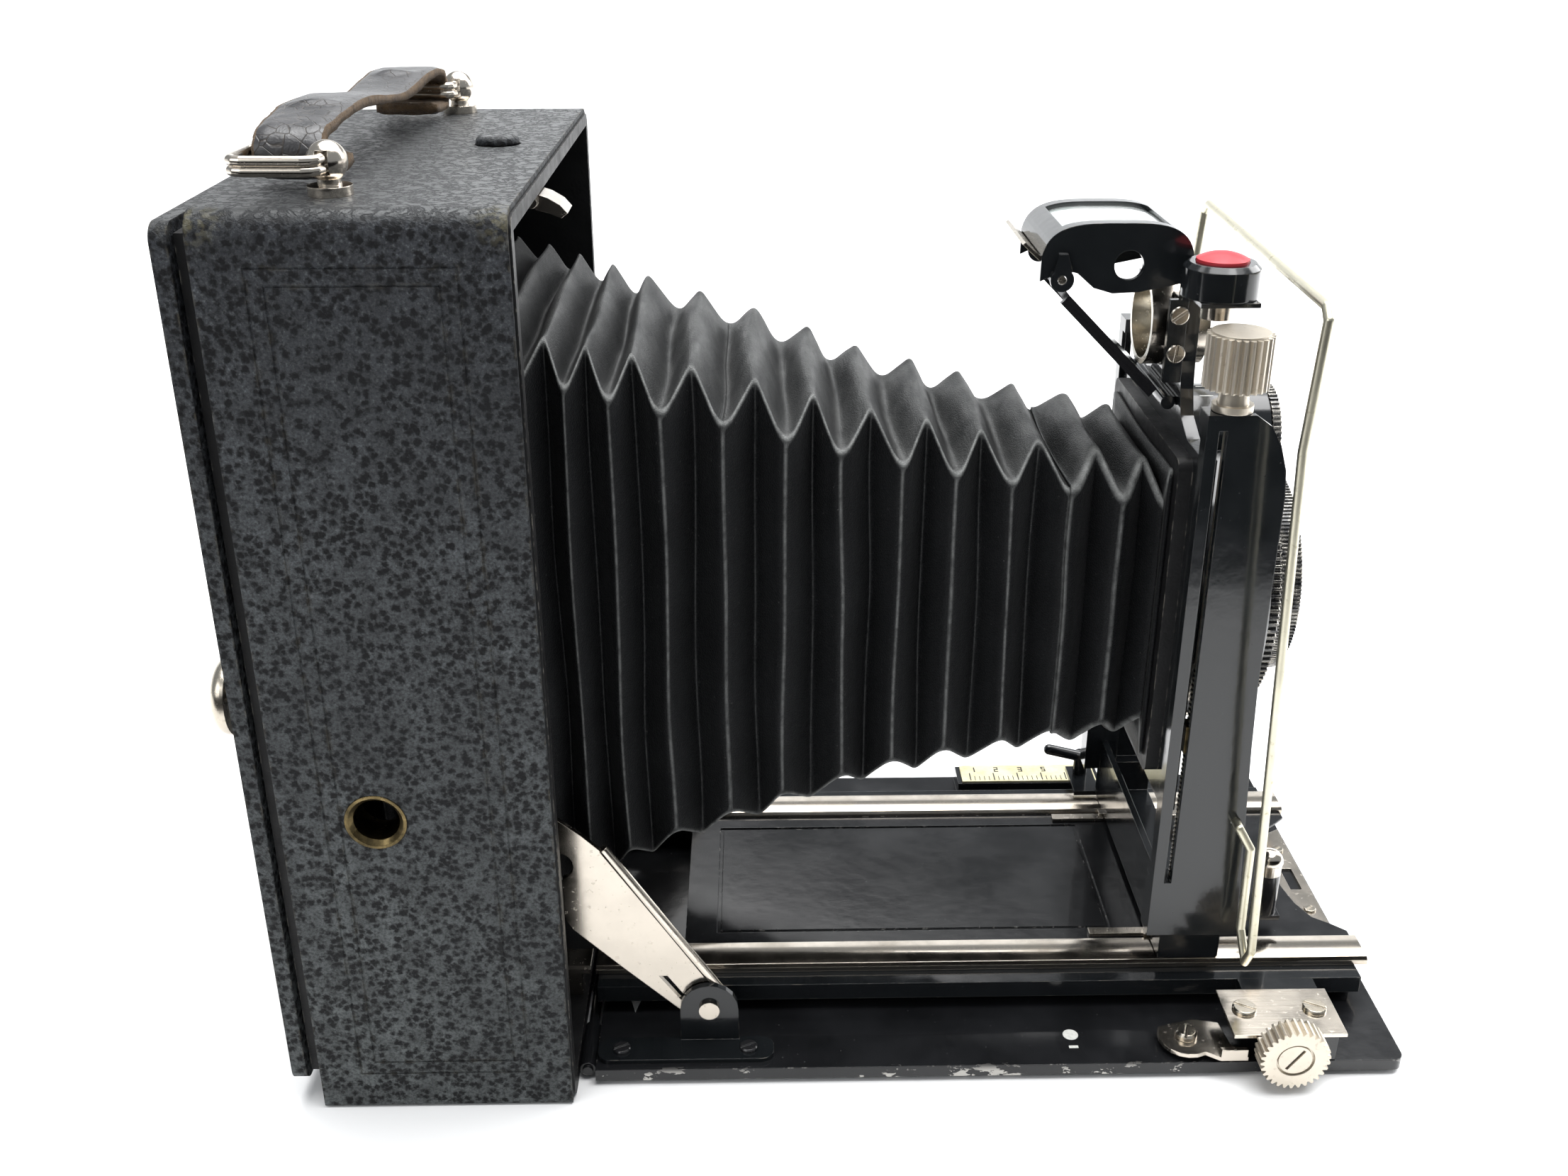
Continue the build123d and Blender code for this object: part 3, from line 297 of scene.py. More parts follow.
def bed_paint():
    """Enamel of the bed, chipped to bright metal along its lower edges."""
    f = Finish("bed_paint", coat=0.2, coat_roughness=0.08, specular=0.42)
    haze = f.noise(70.0, 4.0, 0.6)
    base = f.mix(f.span(haze, 0.35, 0.75), (0.0060, 0.0063, 0.0070), (0.0125, 0.0130, 0.0145))
    dust = f.span(f.noise(1700.0, 2.0, 0.5), 0.72, 0.79, 0.0, 0.5)
    base = f.mix(dust, base, (0.09, 0.09, 0.085))
    low = f.span(f.along("Z"), 0.0020, 0.0036, 1.0, 0.0)    # fades above the lower edge
    rim = f.span(f.along("Y"), -0.0512, -0.0518)            # only on the near side's face
    chips = f.span(f.noise(260.0, 5.0, 0.68, f.stretch(0.55, 1.0, 1.0)), 0.590, 0.605)
    chips = f.math("MULTIPLY", f.math("MULTIPLY", chips, rim), low)
    worn = f.math("MULTIPLY", f.edges(0.0003), f.span(f.noise(500.0, 4.0, 0.65), 0.57, 0.66))
    bare = f.math("MAXIMUM", chips, f.math("MULTIPLY", worn, 0.6))
    base = f.mix(bare, base, (0.52, 0.50, 0.46))
    rough = f.math("ADD", f.span(haze, 0.3, 0.75, 0.14, 0.27), f.math("MULTIPLY", bare, 0.2))
    height = f.math("SUBTRACT", f.noise(300.0, 3.0), bare)
    return f.set(base, rough, f.bump(height, 0.00004, f.round_edges(0.00025)))


def inner_black():
    """Dull black of the body's inside, rubbed on its lip."""
    f = Finish("black_inner", specular=0.3)
    mottle = f.noise(240.0, 4.0, 0.65)
    color = f.mix(mottle, (0.0035, 0.0035, 0.0038), (0.011, 0.011, 0.012))
    lip = f.math("MULTIPLY", f.edges(0.0004), f.span(f.noise(600.0, 4.0), 0.52, 0.62))
    color = f.mix(f.math("MULTIPLY", lip, 0.5), color, (0.28, 0.26, 0.22))
    return f.set(color, f.span(mottle, 0.3, 0.7, 0.42, 0.62), f.bump(f.noise(1800.0, 3.0), 0.00006))


def nickel(name, color=(0.66, 0.60, 0.52), dark=(0.25, 0.21, 0.15), rough=0.13, spots=0.12,
           brush=(0.05, 1.0, 1.0), metallic=1.0):
    """Nickel plate: faint polishing lines and tarnish spots."""
    f = Finish(name, metallic=metallic)
    cloud = f.noise(130.0, 5.0, 0.6)
    spot = f.span(f.noise(850.0, 4.0, 0.62), 0.60, 0.70)
    lines = f.noise(900.0, 3.0, 0.6, f.stretch(*brush))
    base = f.mix(f.span(cloud, 0.35, 0.75, 0.0, 0.45), color, tuple(c * 0.78 for c in color))
    base = f.mix(f.math("MULTIPLY", spot, spots), base, dark)
    rough = f.span(cloud, 0.3, 0.75, rough, rough + 0.14)
    rough = f.math("ADD", rough, f.math("MULTIPLY", spot, 0.15))
    uneven = f.math("MULTIPLY", f.noise(300.0, 2.0), 0.6)
    height = f.math("ADD", f.math("MULTIPLY", lines, 0.5), uneven)
    return f.set(base, rough, f.bump(height, 0.000018, f.round_edges(0.00018)))


def rail_nickel():
    """Nickel of the rails, drawn half round across their width."""
    f = Finish("rail_nickel", metallic=1.0)
    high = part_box("carriage_rails")[1]
    half = 0.0040    # half of a rail's width
    across = f.math("SUBTRACT", f.math("ABSOLUTE", f.along("Y")), high.y - half)
    across = f.math("DIVIDE", across, half)
    round_top = f.math("SUBTRACT", 1.0, f.math("MULTIPLY", across, across))
    cloud = f.noise(130.0, 5.0, 0.6)
    lines = f.noise(900.0, 3.0, 0.6, f.stretch(0.05, 1.0, 1.0))
    color = f.mix(f.span(cloud, 0.35, 0.75), (0.66, 0.60, 0.52), (0.44, 0.39, 0.32))
    base = f.bump(round_top, 0.0007, f.round_edges(0.0002))
    return f.set(color, f.span(cloud, 0.3, 0.75, 0.12, 0.24), f.bump(lines, 0.00001, base))


def brass():
    """Dark, tarnished brass of the tripod bush."""
    f = Finish("brass", metallic=1.0)
    cloud = f.noise(420.0, 4.0, 0.6)
    color = f.mix(f.span(cloud, 0.3, 0.6), (0.20, 0.15, 0.07), (0.055, 0.043, 0.022))
    height = f.bump(cloud, 0.00005, f.round_edges(0.0002))
    return f.set(color, f.span(cloud, 0.3, 0.7, 0.22, 0.45), height)


def lacquer():
    """Black lacquered brass of the lens mount, bright on its turned bands."""
    f = Finish("black_lacquer", coat=0.5, coat_roughness=0.08)
    turn = f.noise(1400.0, 2.0, 0.5, f.stretch(1.0, 0.02, 0.02))
    worn = f.math("MULTIPLY", f.edges(0.00035), f.span(f.noise(520.0, 3.0), 0.40, 0.55))
    color = f.mix(turn, (0.006, 0.006, 0.007), (0.014, 0.014, 0.015))
    color = f.mix(worn, color, (0.55, 0.52, 0.46))
    height = f.bump(turn, 0.00003, f.round_edges(0.0002))
    return f.set(color, f.span(turn, 0.3, 0.7, 0.16, 0.3), height, worn)


def glass(name, tint=(0.93, 0.96, 0.97), rough=0.02):
    f = Finish(name)
    f.bsdf.inputs["Transmission Weight"].default_value = 1.0
    haze = f.span(f.noise(700.0, 4.0), 0.4, 0.8, rough, rough + 0.05)
    color = f.mix(f.noise(90.0, 2.0), tint, tuple(c * 0.96 for c in tint))
    return f.set(color, haze, f.bump(f.noise(160.0, 2.0), 0.000004))


def finder_glass():
    """Clear finder lens, and a paler viewing glass above it."""
    f = Finish("finder_glass", coat=1.0, coat_roughness=0.03)
    lens_top, glass_foot = 0.1465, 0.1470
    upper = f.span(f.along("Z"), lens_top, glass_foot)
    cloud = f.noise(140.0, 3.0)
    f.tree.links.new(f.span(upper, 0.0, 1.0, 1.0, 0.12), f.bsdf.inputs["Transmission Weight"])
    color = f.mix(f.span(cloud, 0.35, 0.65), (0.62, 0.68, 0.66), (0.84, 0.87, 0.86))
    return f.set(color, f.span(upper, 0.0, 1.0, 0.02, 0.12), f.bump(cloud, 0.00003))


def red_glass():
    """Red dome of the level."""
    f = Finish("level_red", coat=0.08, coat_roughness=0.15, specular=0.22)
    swirl = f.noise(420.0, 4.0)
    color = f.mix(swirl, (0.56, 0.050, 0.065), (0.40, 0.022, 0.030))
    return f.set(color, 0.42, f.bump(swirl, 0.00002))


def ivory():
    """Yellowed ivory-coloured scale plate."""
    f = Finish("scale_ivory", specular=0.4)
    stain = f.noise(220.0, 4.0, 0.6)
    color = f.mix(f.span(stain, 0.35, 0.75), (0.62, 0.58, 0.40), (0.40, 0.35, 0.20))
    return f.set(color, 0.42, f.bump(stain, 0.00003, f.round_edges(0.0002)))


def ink(name, color):
    """Colour of a mark, faded in places."""
    f = Finish(name)
    fade = f.noise(1500.0, 3.0)
    return f.set(f.mix(f.span(fade, 0.4, 0.8), color, tuple(c * 0.7 for c in color)), 0.5)


def steel():
    f = Finish("steel_dark", metallic=1.0)
    cloud = f.noise(500.0, 4.0)
    color = f.mix(cloud, (0.16, 0.15, 0.14), (0.06, 0.055, 0.05))
    return f.set(color, 0.35, f.bump(cloud, 0.00003))


def mirror_glass():
    """Aged mirror on the face that looks up and forward, and black elsewhere."""
    f = Finish("finder_mirror", metallic=1.0)
    age = f.span(f.noise(350.0, 4.0, 0.6), 0.60, 0.75)
    color = f.mix(age, (0.72, 0.75, 0.76), (0.20, 0.19, 0.16))
    face = f.math("MULTIPLY", f.span(f.facing("X"), 0.60, 0.66), f.span(f.facing("Z"), 0.60, 0.66))
    return f.set(f.mix(face, (0.009, 0.009, 0.01), color), 0.08, f.bump(age, 0.00001), face)


def grip_finish():
    """Black enamel post with a nickel cap and a nickel bar through its foot."""
    f = Finish("grip_enamel", coat=0.4, coat_roughness=0.06)
    post_top, cap_foot = 0.02385, 0.02395
    post_back, bar_front = 0.1592, 0.1590
    cap = f.span(f.along("Z"), post_top, cap_foot)
    cross_bar = f.span(f.along("X"), post_back, bar_front)
    bright = f.math("MAXIMUM", cap, cross_bar)
    cloud = f.noise(260.0, 4.0)
    black = f.mix(cloud, (0.006, 0.006, 0.007), (0.013, 0.013, 0.014))
    color = f.mix(bright, black, (0.66, 0.60, 0.52))
    height = f.bump(cloud, 0.00002, f.round_edges(0.0003))
    return f.set(color, f.span(cloud, 0.3, 0.7, 0.10, 0.22), height, bright)


def screw_finish():
    """Screws of the bed: enamelled near the body and nickel at the focus drive."""
    f = Finish("bed_screw", coat=0.3, coat_roughness=0.1)
    strut_end, drive_start = 0.0800, 0.0810
    bright = f.span(f.along("X"), strut_end, drive_start)
    cloud = f.noise(500.0, 4.0)
    metal = f.mix(f.span(cloud, 0.35, 0.7), (0.62, 0.57, 0.49), (0.40, 0.36, 0.29))
    color = f.mix(bright, (0.012, 0.012, 0.013), metal)
    height = f.bump(cloud, 0.00002, f.round_edges(0.0002))
    return f.set(color, f.span(cloud, 0.3, 0.7, 0.16, 0.30), height, bright)


MATERIALS = {
    "pebble_leather": pebble_leather(),
    "strap_leather": strap_leather(),
    "bellows_leather": bellows_leather(),
    "black_enamel": enamel(),
    "bed_paint": bed_paint(),
    "black_inner": inner_black(),
    "nickel": nickel("nickel"),
    "nickel_worn": nickel("nickel_worn", (0.56, 0.51, 0.43), (0.16, 0.13, 0.09), 0.20, 0.4,
                          (1.0, 1.0, 0.06)),
    "nickel_satin": nickel("nickel_satin", (0.63, 0.57, 0.48), (0.30, 0.25, 0.18), 0.28, 0.30,
                           metallic=0.85),
    "wire_nickel": nickel("wire_nickel", (0.66, 0.63, 0.50), (0.34, 0.30, 0.18), 0.30, 0.45,
                          (1.0, 1.0, 0.1)),
    "steel_dark": steel(),
    "brass": brass(),
    "black_lacquer": lacquer(),
    "lens_glass": glass("lens_glass"),
    "ground_glass": glass("ground_glass", (0.80, 0.84, 0.84), 0.45),
    "finder_mirror": mirror_glass(),
    "level_glass": red_glass(),
    "scale_ivory": ivory(),
}
SUEDE = suede()
WHITE = ink("white_fill", (0.72, 0.72, 0.68))
DARK_INK = ink("dark_ink", (0.012, 0.012, 0.012))
for part in frame["record"]["subparts"]:
    node = nodes[part["node"]]
    node.data.materials.clear()
    node.data.materials.append(MATERIALS[part["material_slot"]])
GRIP = grip_finish()
for name in ("grip_near", "grip_far"):
    nodes[name].data.materials[0] = GRIP
FINDER_GLASS = finder_glass()
nodes["finder_optics"].data.materials[0] = FINDER_GLASS
nodes["release_button"].data.materials[0] = MATERIALS["pebble_leather"]
nodes["carriage_rails"].data.materials[0] = rail_nickel()
for name in ("rise_screw", "focus_knob"):
    nodes[name].data.materials[0] = MATERIALS["nickel_satin"]
nodes["bed_screws"].data.materials[0] = screw_finish()


# ---- mesh helpers ---------------------------------------------------------
def piece(name, verts, faces, body, mats, smooth=True, face_mats=None):
    mesh = bpy.data.meshes.new(name)
    mesh.from_pydata([tuple(v) for v in verts], [], faces)
    mesh.validate()
    for mat in mats:
        mesh.materials.append(mat)
    if face_mats:
        mesh.polygons.foreach_set("material_index", face_mats)
    mesh.polygons.foreach_set("use_smooth", [smooth] * len(mesh.polygons))
    made = bpy.data.objects.new(name, mesh)
    bpy.context.scene.collection.objects.link(made)
    bm = bmesh.new()
    bm.from_mesh(mesh)
    bmesh.ops.recalc_face_normals(bm, faces=bm.faces)
    bm.to_mesh(mesh)
    bm.free()
    if body:
        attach(made, body)
    return made


def tube_faces(rows, around):
    """Quads that join rows of points, each row closed on itself."""
    faces = []
    for i in range(rows - 1):
        for j in range(around):
            k = (j + 1) % around
            a, b = i * around, (i + 1) * around
            faces.append((a + j, a + k, b + k, b + j))
    return faces


def apply_modifiers(made):
    depsgraph = bpy.context.evaluated_depsgraph_get()
    mesh = bpy.data.meshes.new_from_object(made.evaluated_get(depsgraph))
    made.modifiers.clear()
    made.data = mesh


# ---- bellows --------------------------------------------------------------
# in mm: the ridges of the top, and (x, half width, half height, centre height) along the bellows
PEAKS = [-35.0, -29.0, -23.4, -18.0, -12.6, -6.9, 0.0, 6.8, 14.2, 24.2, 34.6, 45.0]
PEAKS += [55.4, 65.6, 75.8, 86.2, 96.8, 105.6]
PROFILE = [(-41.6, 46.4, 61.8, 84.0), (-19.0, 42.5, 60.0, 85.0), (-13.0, 39.6, 58.0, 85.8)]
PROFILE += [(0.0, 37.6, 54.0, 86.6), (30.0, 32.6, 45.6, 87.0), (56.0, 27.4, 38.2, 86.0)]
PROFILE += [(109.7, 21.4, 27.6, 84.2)]
REAR_START = -41.6     # where the bellows leaves its rear frame
REAR_END = 29.4        # the rear part of the bellows stretches up to here
MID_END = 91.5         # and the middle part closes up to here
FRONT_END = 109.2      # the last valley, glued to the front frame
CREASE = 1.0           # how far a corner crease is rounded
WALL = 0.0006          # thickness of the leather, in metres
# the front flange's x, phase, half width, half height and centre height
FLANGE = (109.45, 0.5, 23.6, 29.6, 84.0)


def envelope(x):
    """Half width, half height and centre height of the bellows over its ridges."""
    for a, b in zip(PROFILE, PROFILE[1:]):
        if x <= b[0]:
            t = (x - a[0]) / (b[0] - a[0])
            return [a[i] + (b[i] - a[i]) * t for i in (1, 2, 3)]
    return list(PROFILE[-1][1:])


def rounded_fold(phase, ridge, valley):
    """Depth of a fold, 0 on the ridge and 1 in the valley, rounded over two shares of it."""
    if phase < ridge:
        depth = ridge / 2 + phase ** 2 / (2 * ridge)
    elif phase > 1 - valley:
        depth = 1 - valley / 2 - (1 - phase) ** 2 / (2 * valley)
    else:
        depth = phase
    return (depth - ridge / 2) / (1 - ridge / 2 - valley / 2)


def fold_stations():
    """(x, phase) pairs: the phase is 0 on a ridge of the top and 1 in its valley."""
    turns = [(REAR_START, 0.75)]
    for i, x in enumerate(PEAKS):
        turns.append((x, 0.0))
        nxt = PEAKS[i + 1] if i + 1 < len(PEAKS) else 2 * FRONT_END - x
        turns.append(((x + nxt) / 2, 1.0))
    stations = []
    for (xa, a), (xb, b) in zip(turns, turns[1:]):
        for u in (0.0, 0.05, 0.11, 0.18, 0.27, 0.38, 0.5, 0.62, 0.73, 0.82, 0.89, 0.95):
            stations.append((xa + (xb - xa) * u, a + (b - a) * u))
    return stations + [(FRONT_END, 1.0)]


def outline(side, top):
    """(y, z, kind) round a section of the bellows with half width side and half height top."""
    def run(half, count, kind):
        inner = half - 2.0 * CREASE
        flat = [(-inner + 2 * inner * i / count, kind) for i in range(count + 1)]
        return [(CREASE - half, "lip")] + flat + [(half - CREASE, "lip")]

    y, z = side - 0.3 * CREASE, top - 0.3 * CREASE
    points = [(t, top, kind) for t, kind in run(side, 18, "top")] + [(y, z, "corner")]
    points += [(side, -t, kind) for t, kind in run(top, 22, "side")] + [(y, -z, "corner")]
    points += [(-t, -top, kind) for t, kind in run(side, 18, "top")] + [(-y, -z, "corner")]
    return points + [(-side, t, kind) for t, kind in run(top, 22, "side")] + [(-y, z, "corner")]


def bellows_ring(x, phase, side, top, zc, puffed=0.0):
    """Points of one section, its top's middle puffed mm higher, and how pale each is with wear and
    a painted highlight.
    """
    ring, wear_and_highlight = [], []
    for y, z, kind in outline(side, top):
        # unevenness along the bellows, none at its two ends
        wander = noise.noise(Vector((y * 0.03 + 5.0, z * 0.03, x * 0.11))) * 0.9
        wander *= max(0.0, min(1.0, (x - REAR_START) / 6.0, (FRONT_END - x) / 4.0))
        sag = 0.0
        if kind == "top":
            middle = math.cos(math.pi * y / (2 * side)) ** 0.6
            sag = (puffed * math.copysign(1.0, z) - (0.5 if z > 0 else 0.3)) * middle
        puff = noise.noise(Vector((x * 0.16, y * 0.07, z * 0.07 + 9.0))) * 0.5
        py = y + (math.copysign(puff, y) if kind == "side" else 0.0)
        pz = z + sag + (puff if kind == "top" else 0.0)
        ring.append(at(x + wander, py, pz + zc))
        # pale creases: wear, with a painted highlight along the corners, lips and ridges
        worn = {"corner": 1.0, "lip": 0.42, "top": 0.22 * max(0.0, 1 - phase / 0.25)}.get(kind)
        if kind == "side":
            worn = 0.62 * max(0.0, (phase - 0.86) / 0.14) + 0.40 * max(0.0, 1 - phase / 0.10)
        wear_and_highlight.append(worn)
    return ring, wear_and_highlight


def fold_size(x, phase):
    """Half width, half height, centre height and puff of the bellows at a station."""
    half_width, half_height, zc = envelope(x)
    # folds grow deeper forward of x = -8 and shallower again past x = 70
    depth = 5.0 if x < -8 else 5.0 + min(1.7, (x + 8) * 0.06)
    depth = min(depth, 6.7 - max(0.0, x - 70.0) * 0.028)
    fold = rounded_fold(phase, 0.16, 0.36)
    puff = depth * (fold - rounded_fold(phase, 0.50, 0.18))
    return half_width - depth * (1.0 - fold), half_height - depth * fold, zc, puff


def bellows_piece(name, x0, x1, flange=None):
    """The bellows from x0 to x1, and a last ring of the flange's own size."""
    every = fold_stations()
    stations = [s for s in every if x0 - 1e-6 <= s[0] <= x1 + 1e-6]
    for limit in (x0, x1):
        for a, b in zip(every, every[1:]):
            if a[0] < limit < b[0]:
                t = (limit - a[0]) / (b[0] - a[0])
                stations.append((limit, a[1] + (b[1] - a[1]) * t))
    rings = [bellows_ring(x, phase, *fold_size(x, phase)) for x, phase in sorted(stations)]
    if flange:
        rings.append(bellows_ring(*flange))
    verts = [v for ring, rim in rings for v in ring]
    wear_and_highlight = [r for ring, rim in rings for r in rim]
    faces = tube_faces(len(rings), len(rings[0][0]))
    made = piece(name, verts, faces, None, [MATERIALS["bellows_leather"]])
    # the rim attribute: how pale each point is with wear and a painted highlight
    rim = made.data.attributes.new("rim", "FLOAT", "POINT")
    rim.data.foreach_set("value", wear_and_highlight)
    shell = made.modifiers.new("wall", "SOLIDIFY")
    shell.thickness = WALL
    shell.offset = -1.0
    apply_modifiers(made)
    return made


rear = bellows_piece("bellows_rear", -41.5, REAR_END)
middle = bellows_piece("bellows_middle", REAR_END, MID_END)
front = bellows_piece("bellows_front", MID_END, FRONT_END, FLANGE)
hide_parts("bellows")
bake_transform(rear)
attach(middle, "carriage")
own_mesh(middle)
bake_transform(front)


# ---- handle strap ---------------------------------------------------------
def catmull(points, count):
    """A smooth run of points through the given ones."""
    out = []
    padded = [points[0]] + points + [points[-1]]
    for i in range(1, len(padded) - 2):
        a, b, c, d = (Vector(padded[k]) for k in (i - 1, i, i + 1, i + 2))
        for j in range(count):
            t = j / count
            square, cube = 2 * a - 5 * b + 4 * c - d, 3 * b - a - 3 * c + d
            out.append(0.5 * (2 * b + (c - a) * t + square * t * t + cube * t ** 3))
    return out + [Vector(points[-1])]


def strap():
    """Leather folded round the ring bars, with two slit bumps; its edges are rough suede."""
    # (y, z) of the leather's middle, from one folded end to the other
    line = [(-26.4, 168.9), (-31.0, 168.3), (-36.4, 168.2), (-39.5, 169.5), (-39.9, 172.0)]
    line += [(-37.6, 174.0), (-32.6, 174.9), (-27.0, 175.6), (-21.0, 176.0), (-11.0, 175.7)]
    line += [(-3.0, 174.9), (5.0, 174.1), (12.0, 173.7), (20.0, 174.3), (29.0, 175.2)]
    line += [(36.0, 175.2), (41.0, 174.4), (44.2, 172.9), (44.7, 170.4), (42.6, 168.5)]
    line += [(36.8, 168.4), (31.6, 168.9)]
    path = catmull([(0.0, y, z) for y, z in line], 8)
    slits, slit_length, straight_z = (-24.0, 26.0), 1.7, 172.5
    middle_x, slant = -33.55, 0.0393
    across = [-1.0, -0.93, -0.8, -0.6, -0.35, -0.12, 0.12, 0.35, 0.6, 0.8, 0.93, 1.0]
    verts = []
    for i, p in enumerate(path):
        ahead = path[min(i + 1, len(path) - 1)] - path[max(i - 1, 0)]
        normal = Vector((1, 0, 0)).cross(ahead).normalized()
        t = i / (len(path) - 1)
        width = 5.6 + 0.30 * math.sin(21 * t) + 0.30 * noise.noise(Vector((t * 24, 1, 0)))
        thick = 0.92 + 0.12 * math.sin(33 * t)
        slit = 0.0
        if p.z > straight_z:
            slit = sum(math.exp(-((p.y - y) / slit_length) ** 2) for y in slits)
        for side in (1, -1):
            for u in (across if side == 1 else across[::-1]):
                edge = abs(u) > 0.9
                crown = ragged = 0.0
                if side == 1:
                    crown = 0.16 * (1 - u * u) + 0.75 * slit * max(0.0, 1 - (u / 0.72) ** 2)
                if edge:
                    ragged = 0.30 * noise.noise(Vector((t * 70, u * 3 + side, 4.0)))
                lift = side * thick * (0.72 if edge else 1.0) + crown
                wave = 0.14 * noise.noise(Vector((t * 30, u * 2, 7.0)))
                centre = middle_x + p.y * slant
                shift = Vector((centre + u * width + math.copysign(ragged, u), 0, 0))
                verts.append(at(*(p + shift + normal * (lift + wave))))
    n = 2 * len(across)
    faces = tube_faces(len(path), n)
    mats = [0 if 0 < i % n < len(across) - 2 else 1 for i in range(len(faces))]
    faces.append(tuple(range(n)))
    faces.append(tuple(range((len(path) - 1) * n, len(path) * n))[::-1])
    mats += [1, 1]
    leather = [MATERIALS["strap_leather"], SUEDE]
    made = piece("strap", verts, faces, "handle", leather, face_mats=mats)
    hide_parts("handle_strap")


strap()


# ---- marks and small details ----------------------------------------------
def flat_marks(name, outlines, place, body, mat, thick=0.05):
    """Thin filled marks: outlines of (u, v), which place turns into points at a given lift."""
    verts, faces = [], []
    for outline in outlines:
        n = len(outline)
        first = len(verts)
        verts += [place(u, v, 0.0) for u, v in outline] + [place(u, v, thick) for u, v in outline]
        faces.append(tuple(range(first + n, first + 2 * n)))
        faces.append(tuple(range(first, first + n))[::-1])
        for i in range(n):
            k = (i + 1) % n
            faces.append((first + i, first + k, first + n + k, first + n + i))
    return piece(name, verts, faces, body, [mat], smooth=False)


def on_level(top):
    """Puts marks on a level face at the height top, in mm."""
    return lambda u, v, lift: at(u, v, top + lift)


def bar(u0, u1, v0, v1):
    return [(u0, v0), (u1, v0), (u1, v1), (u0, v1)]


# the strokes of each numeral: a to f go clockwise from its top, and g is its middle
DIGITS = {"0": "abcdef", "1": "bc", "2": "abged", "3": "abgcd", "5": "afgcd"}


def digit(text, u, v, size, stroke):
    """Plain block numerals made of straight strokes, size high and stroke thick."""
    out = []
    for k, sign in enumerate(text):
        a = u + k * size * 0.85
        w, h = size * 0.5, size
        strokes = {
            "a": bar(a, a + w, v + h - stroke, v + h), "d": bar(a, a + w, v, v + stroke),
            "g": bar(a, a + w, v + h / 2 - stroke / 2, v + h / 2 + stroke / 2),
            "b": bar(a + w - stroke, a + w, v + h / 2, v + h),
            "c": bar(a + w - stroke, a + w, v, v + h / 2),
            "f": bar(a, a + stroke, v + h / 2, v + h), "e": bar(a, a + stroke, v, v + h / 2),
        }
        out += [strokes[part] for part in DIGITS[sign]]
    return out


def bed_marks():
    """White triangle, and a round mark with a dash, on the near side of the bed."""
    place = on_level(3.42)
    triangle = [(8.2, -29.6), (11.4, -29.6), (9.9, -35.6)]
    x, y, radius = 95.6, -43.8, 1.5
    turns = [a * math.pi / 12 for a in range(24)]
    circle = [(x + radius * math.cos(a), y + radius * math.sin(a)) for a in turns]
    flat_marks("bed_triangle", [triangle], place, "camera_body", WHITE)
    round_mark = [circle, bar(94.7, 96.5, -47.6, -46.9)]
    flat_marks("bed_round_mark", round_mark, place, "camera_body", WHITE)


def scale_marks():
    """Distance scale: long and short lines with numerals."""
    place = on_level(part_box("scale_plate")[1].z * 1000)
    first, pitch, foot, numeral_foot = 87.0, 1.18, 43.4, 47.2
    lines = []
    for i in range(26):
        x = first + i * pitch
        width, tip = (0.16, 45.2) if i % 5 else (0.28, 46.6)
        lines.append(bar(x, x + width, foot, tip))
    for text, x in (("1", 87.6), ("2", 93.4), ("3", 99.4), ("5", 105.2), ("10", 111.0)):
        lines += digit(text, x, numeral_foot, 2.1, 0.30)
    flat_marks("scale_lines", lines, place, "camera_body", DARK_INK)


def drum_marks():
    """White lines and numerals round the speed dial's drum and on its rim."""
    radius, axis_z = 9.41, 112.4
    rim_back, rim_front, numeral_foot = 118.4, 121.0, 122.4

    def place(u, v, lift):
        a = u / radius
        return at(v, -(radius + lift) * math.sin(a), axis_z + (radius + lift) * math.cos(a))

    lines = []
    for i in range(10):
        u = -6.0 + i * 3.3
        lines.append(bar(u, u + 0.22, rim_back, rim_front))
    for text, u in (("1", 1.3), ("2", 4.6), ("5", 7.9), ("10", 10.7), ("25", 14.0), ("50", 17.2)):
        for stroke in digit(text, 0.0, 0.0, 1.9, 0.26):
            lines.append([(u + a, numeral_foot + b) for a, b in stroke])
    flat_marks("drum_marks", lines, place, "front_panel", WHITE, 0.03)


def viewing_glass():
    """Curved glass that fills the window in the top of the finder's hood."""
    half_x, half_y, nx, ny = 9.5, 8.7, 20, 10    # the glass and its grid
    # the hood's arch, in mm, and the two powers that give its shape
    hood_x, hood_half, hood_foot, hood_rise = 98.8, 13.7, 144.2, 10.6
    lean_power, arch_power = 1.751, 0.2855

    def height(u, v, inset):
        lean = (abs(u) / (hood_half - inset)) ** lean_power
        crown = 0.25 * (1 - (v / half_y) ** 2)
        return hood_foot + (hood_rise - inset) * (1 - lean * lean) ** arch_power + crown

    verts, faces = [], []
    for inset in (0.75, 1.35):
        for i in range(nx + 1):
            for j in range(ny + 1):
                u, v = half_x * (2 * i / nx - 1), half_y * (2 * j / ny - 1)
                verts.append(at(hood_x + u, v, height(u, v, inset)))
    row, layer = ny + 1, (nx + 1) * (ny + 1)     # points in a row, and in the whole upper face
    for i in range(nx):
        for j in range(ny):
            a = i * row + j
            faces.append((a, a + 1, a + row + 1, a + row))
            faces.append((layer + a, layer + a + row, layer + a + row + 1, layer + a + 1))
    edge = list(range(row)) + [i * row + ny for i in range(1, nx + 1)]
    edge += [nx * row + j for j in range(ny - 1, -1, -1)] + [i * row for i in range(nx - 1, 0, -1)]
    for a, b in zip(edge, edge[1:] + edge[:1]):
        faces.append((a, b, layer + b, layer + a))
    piece("viewing_glass", verts, faces, "front_panel", [FINDER_GLASS])


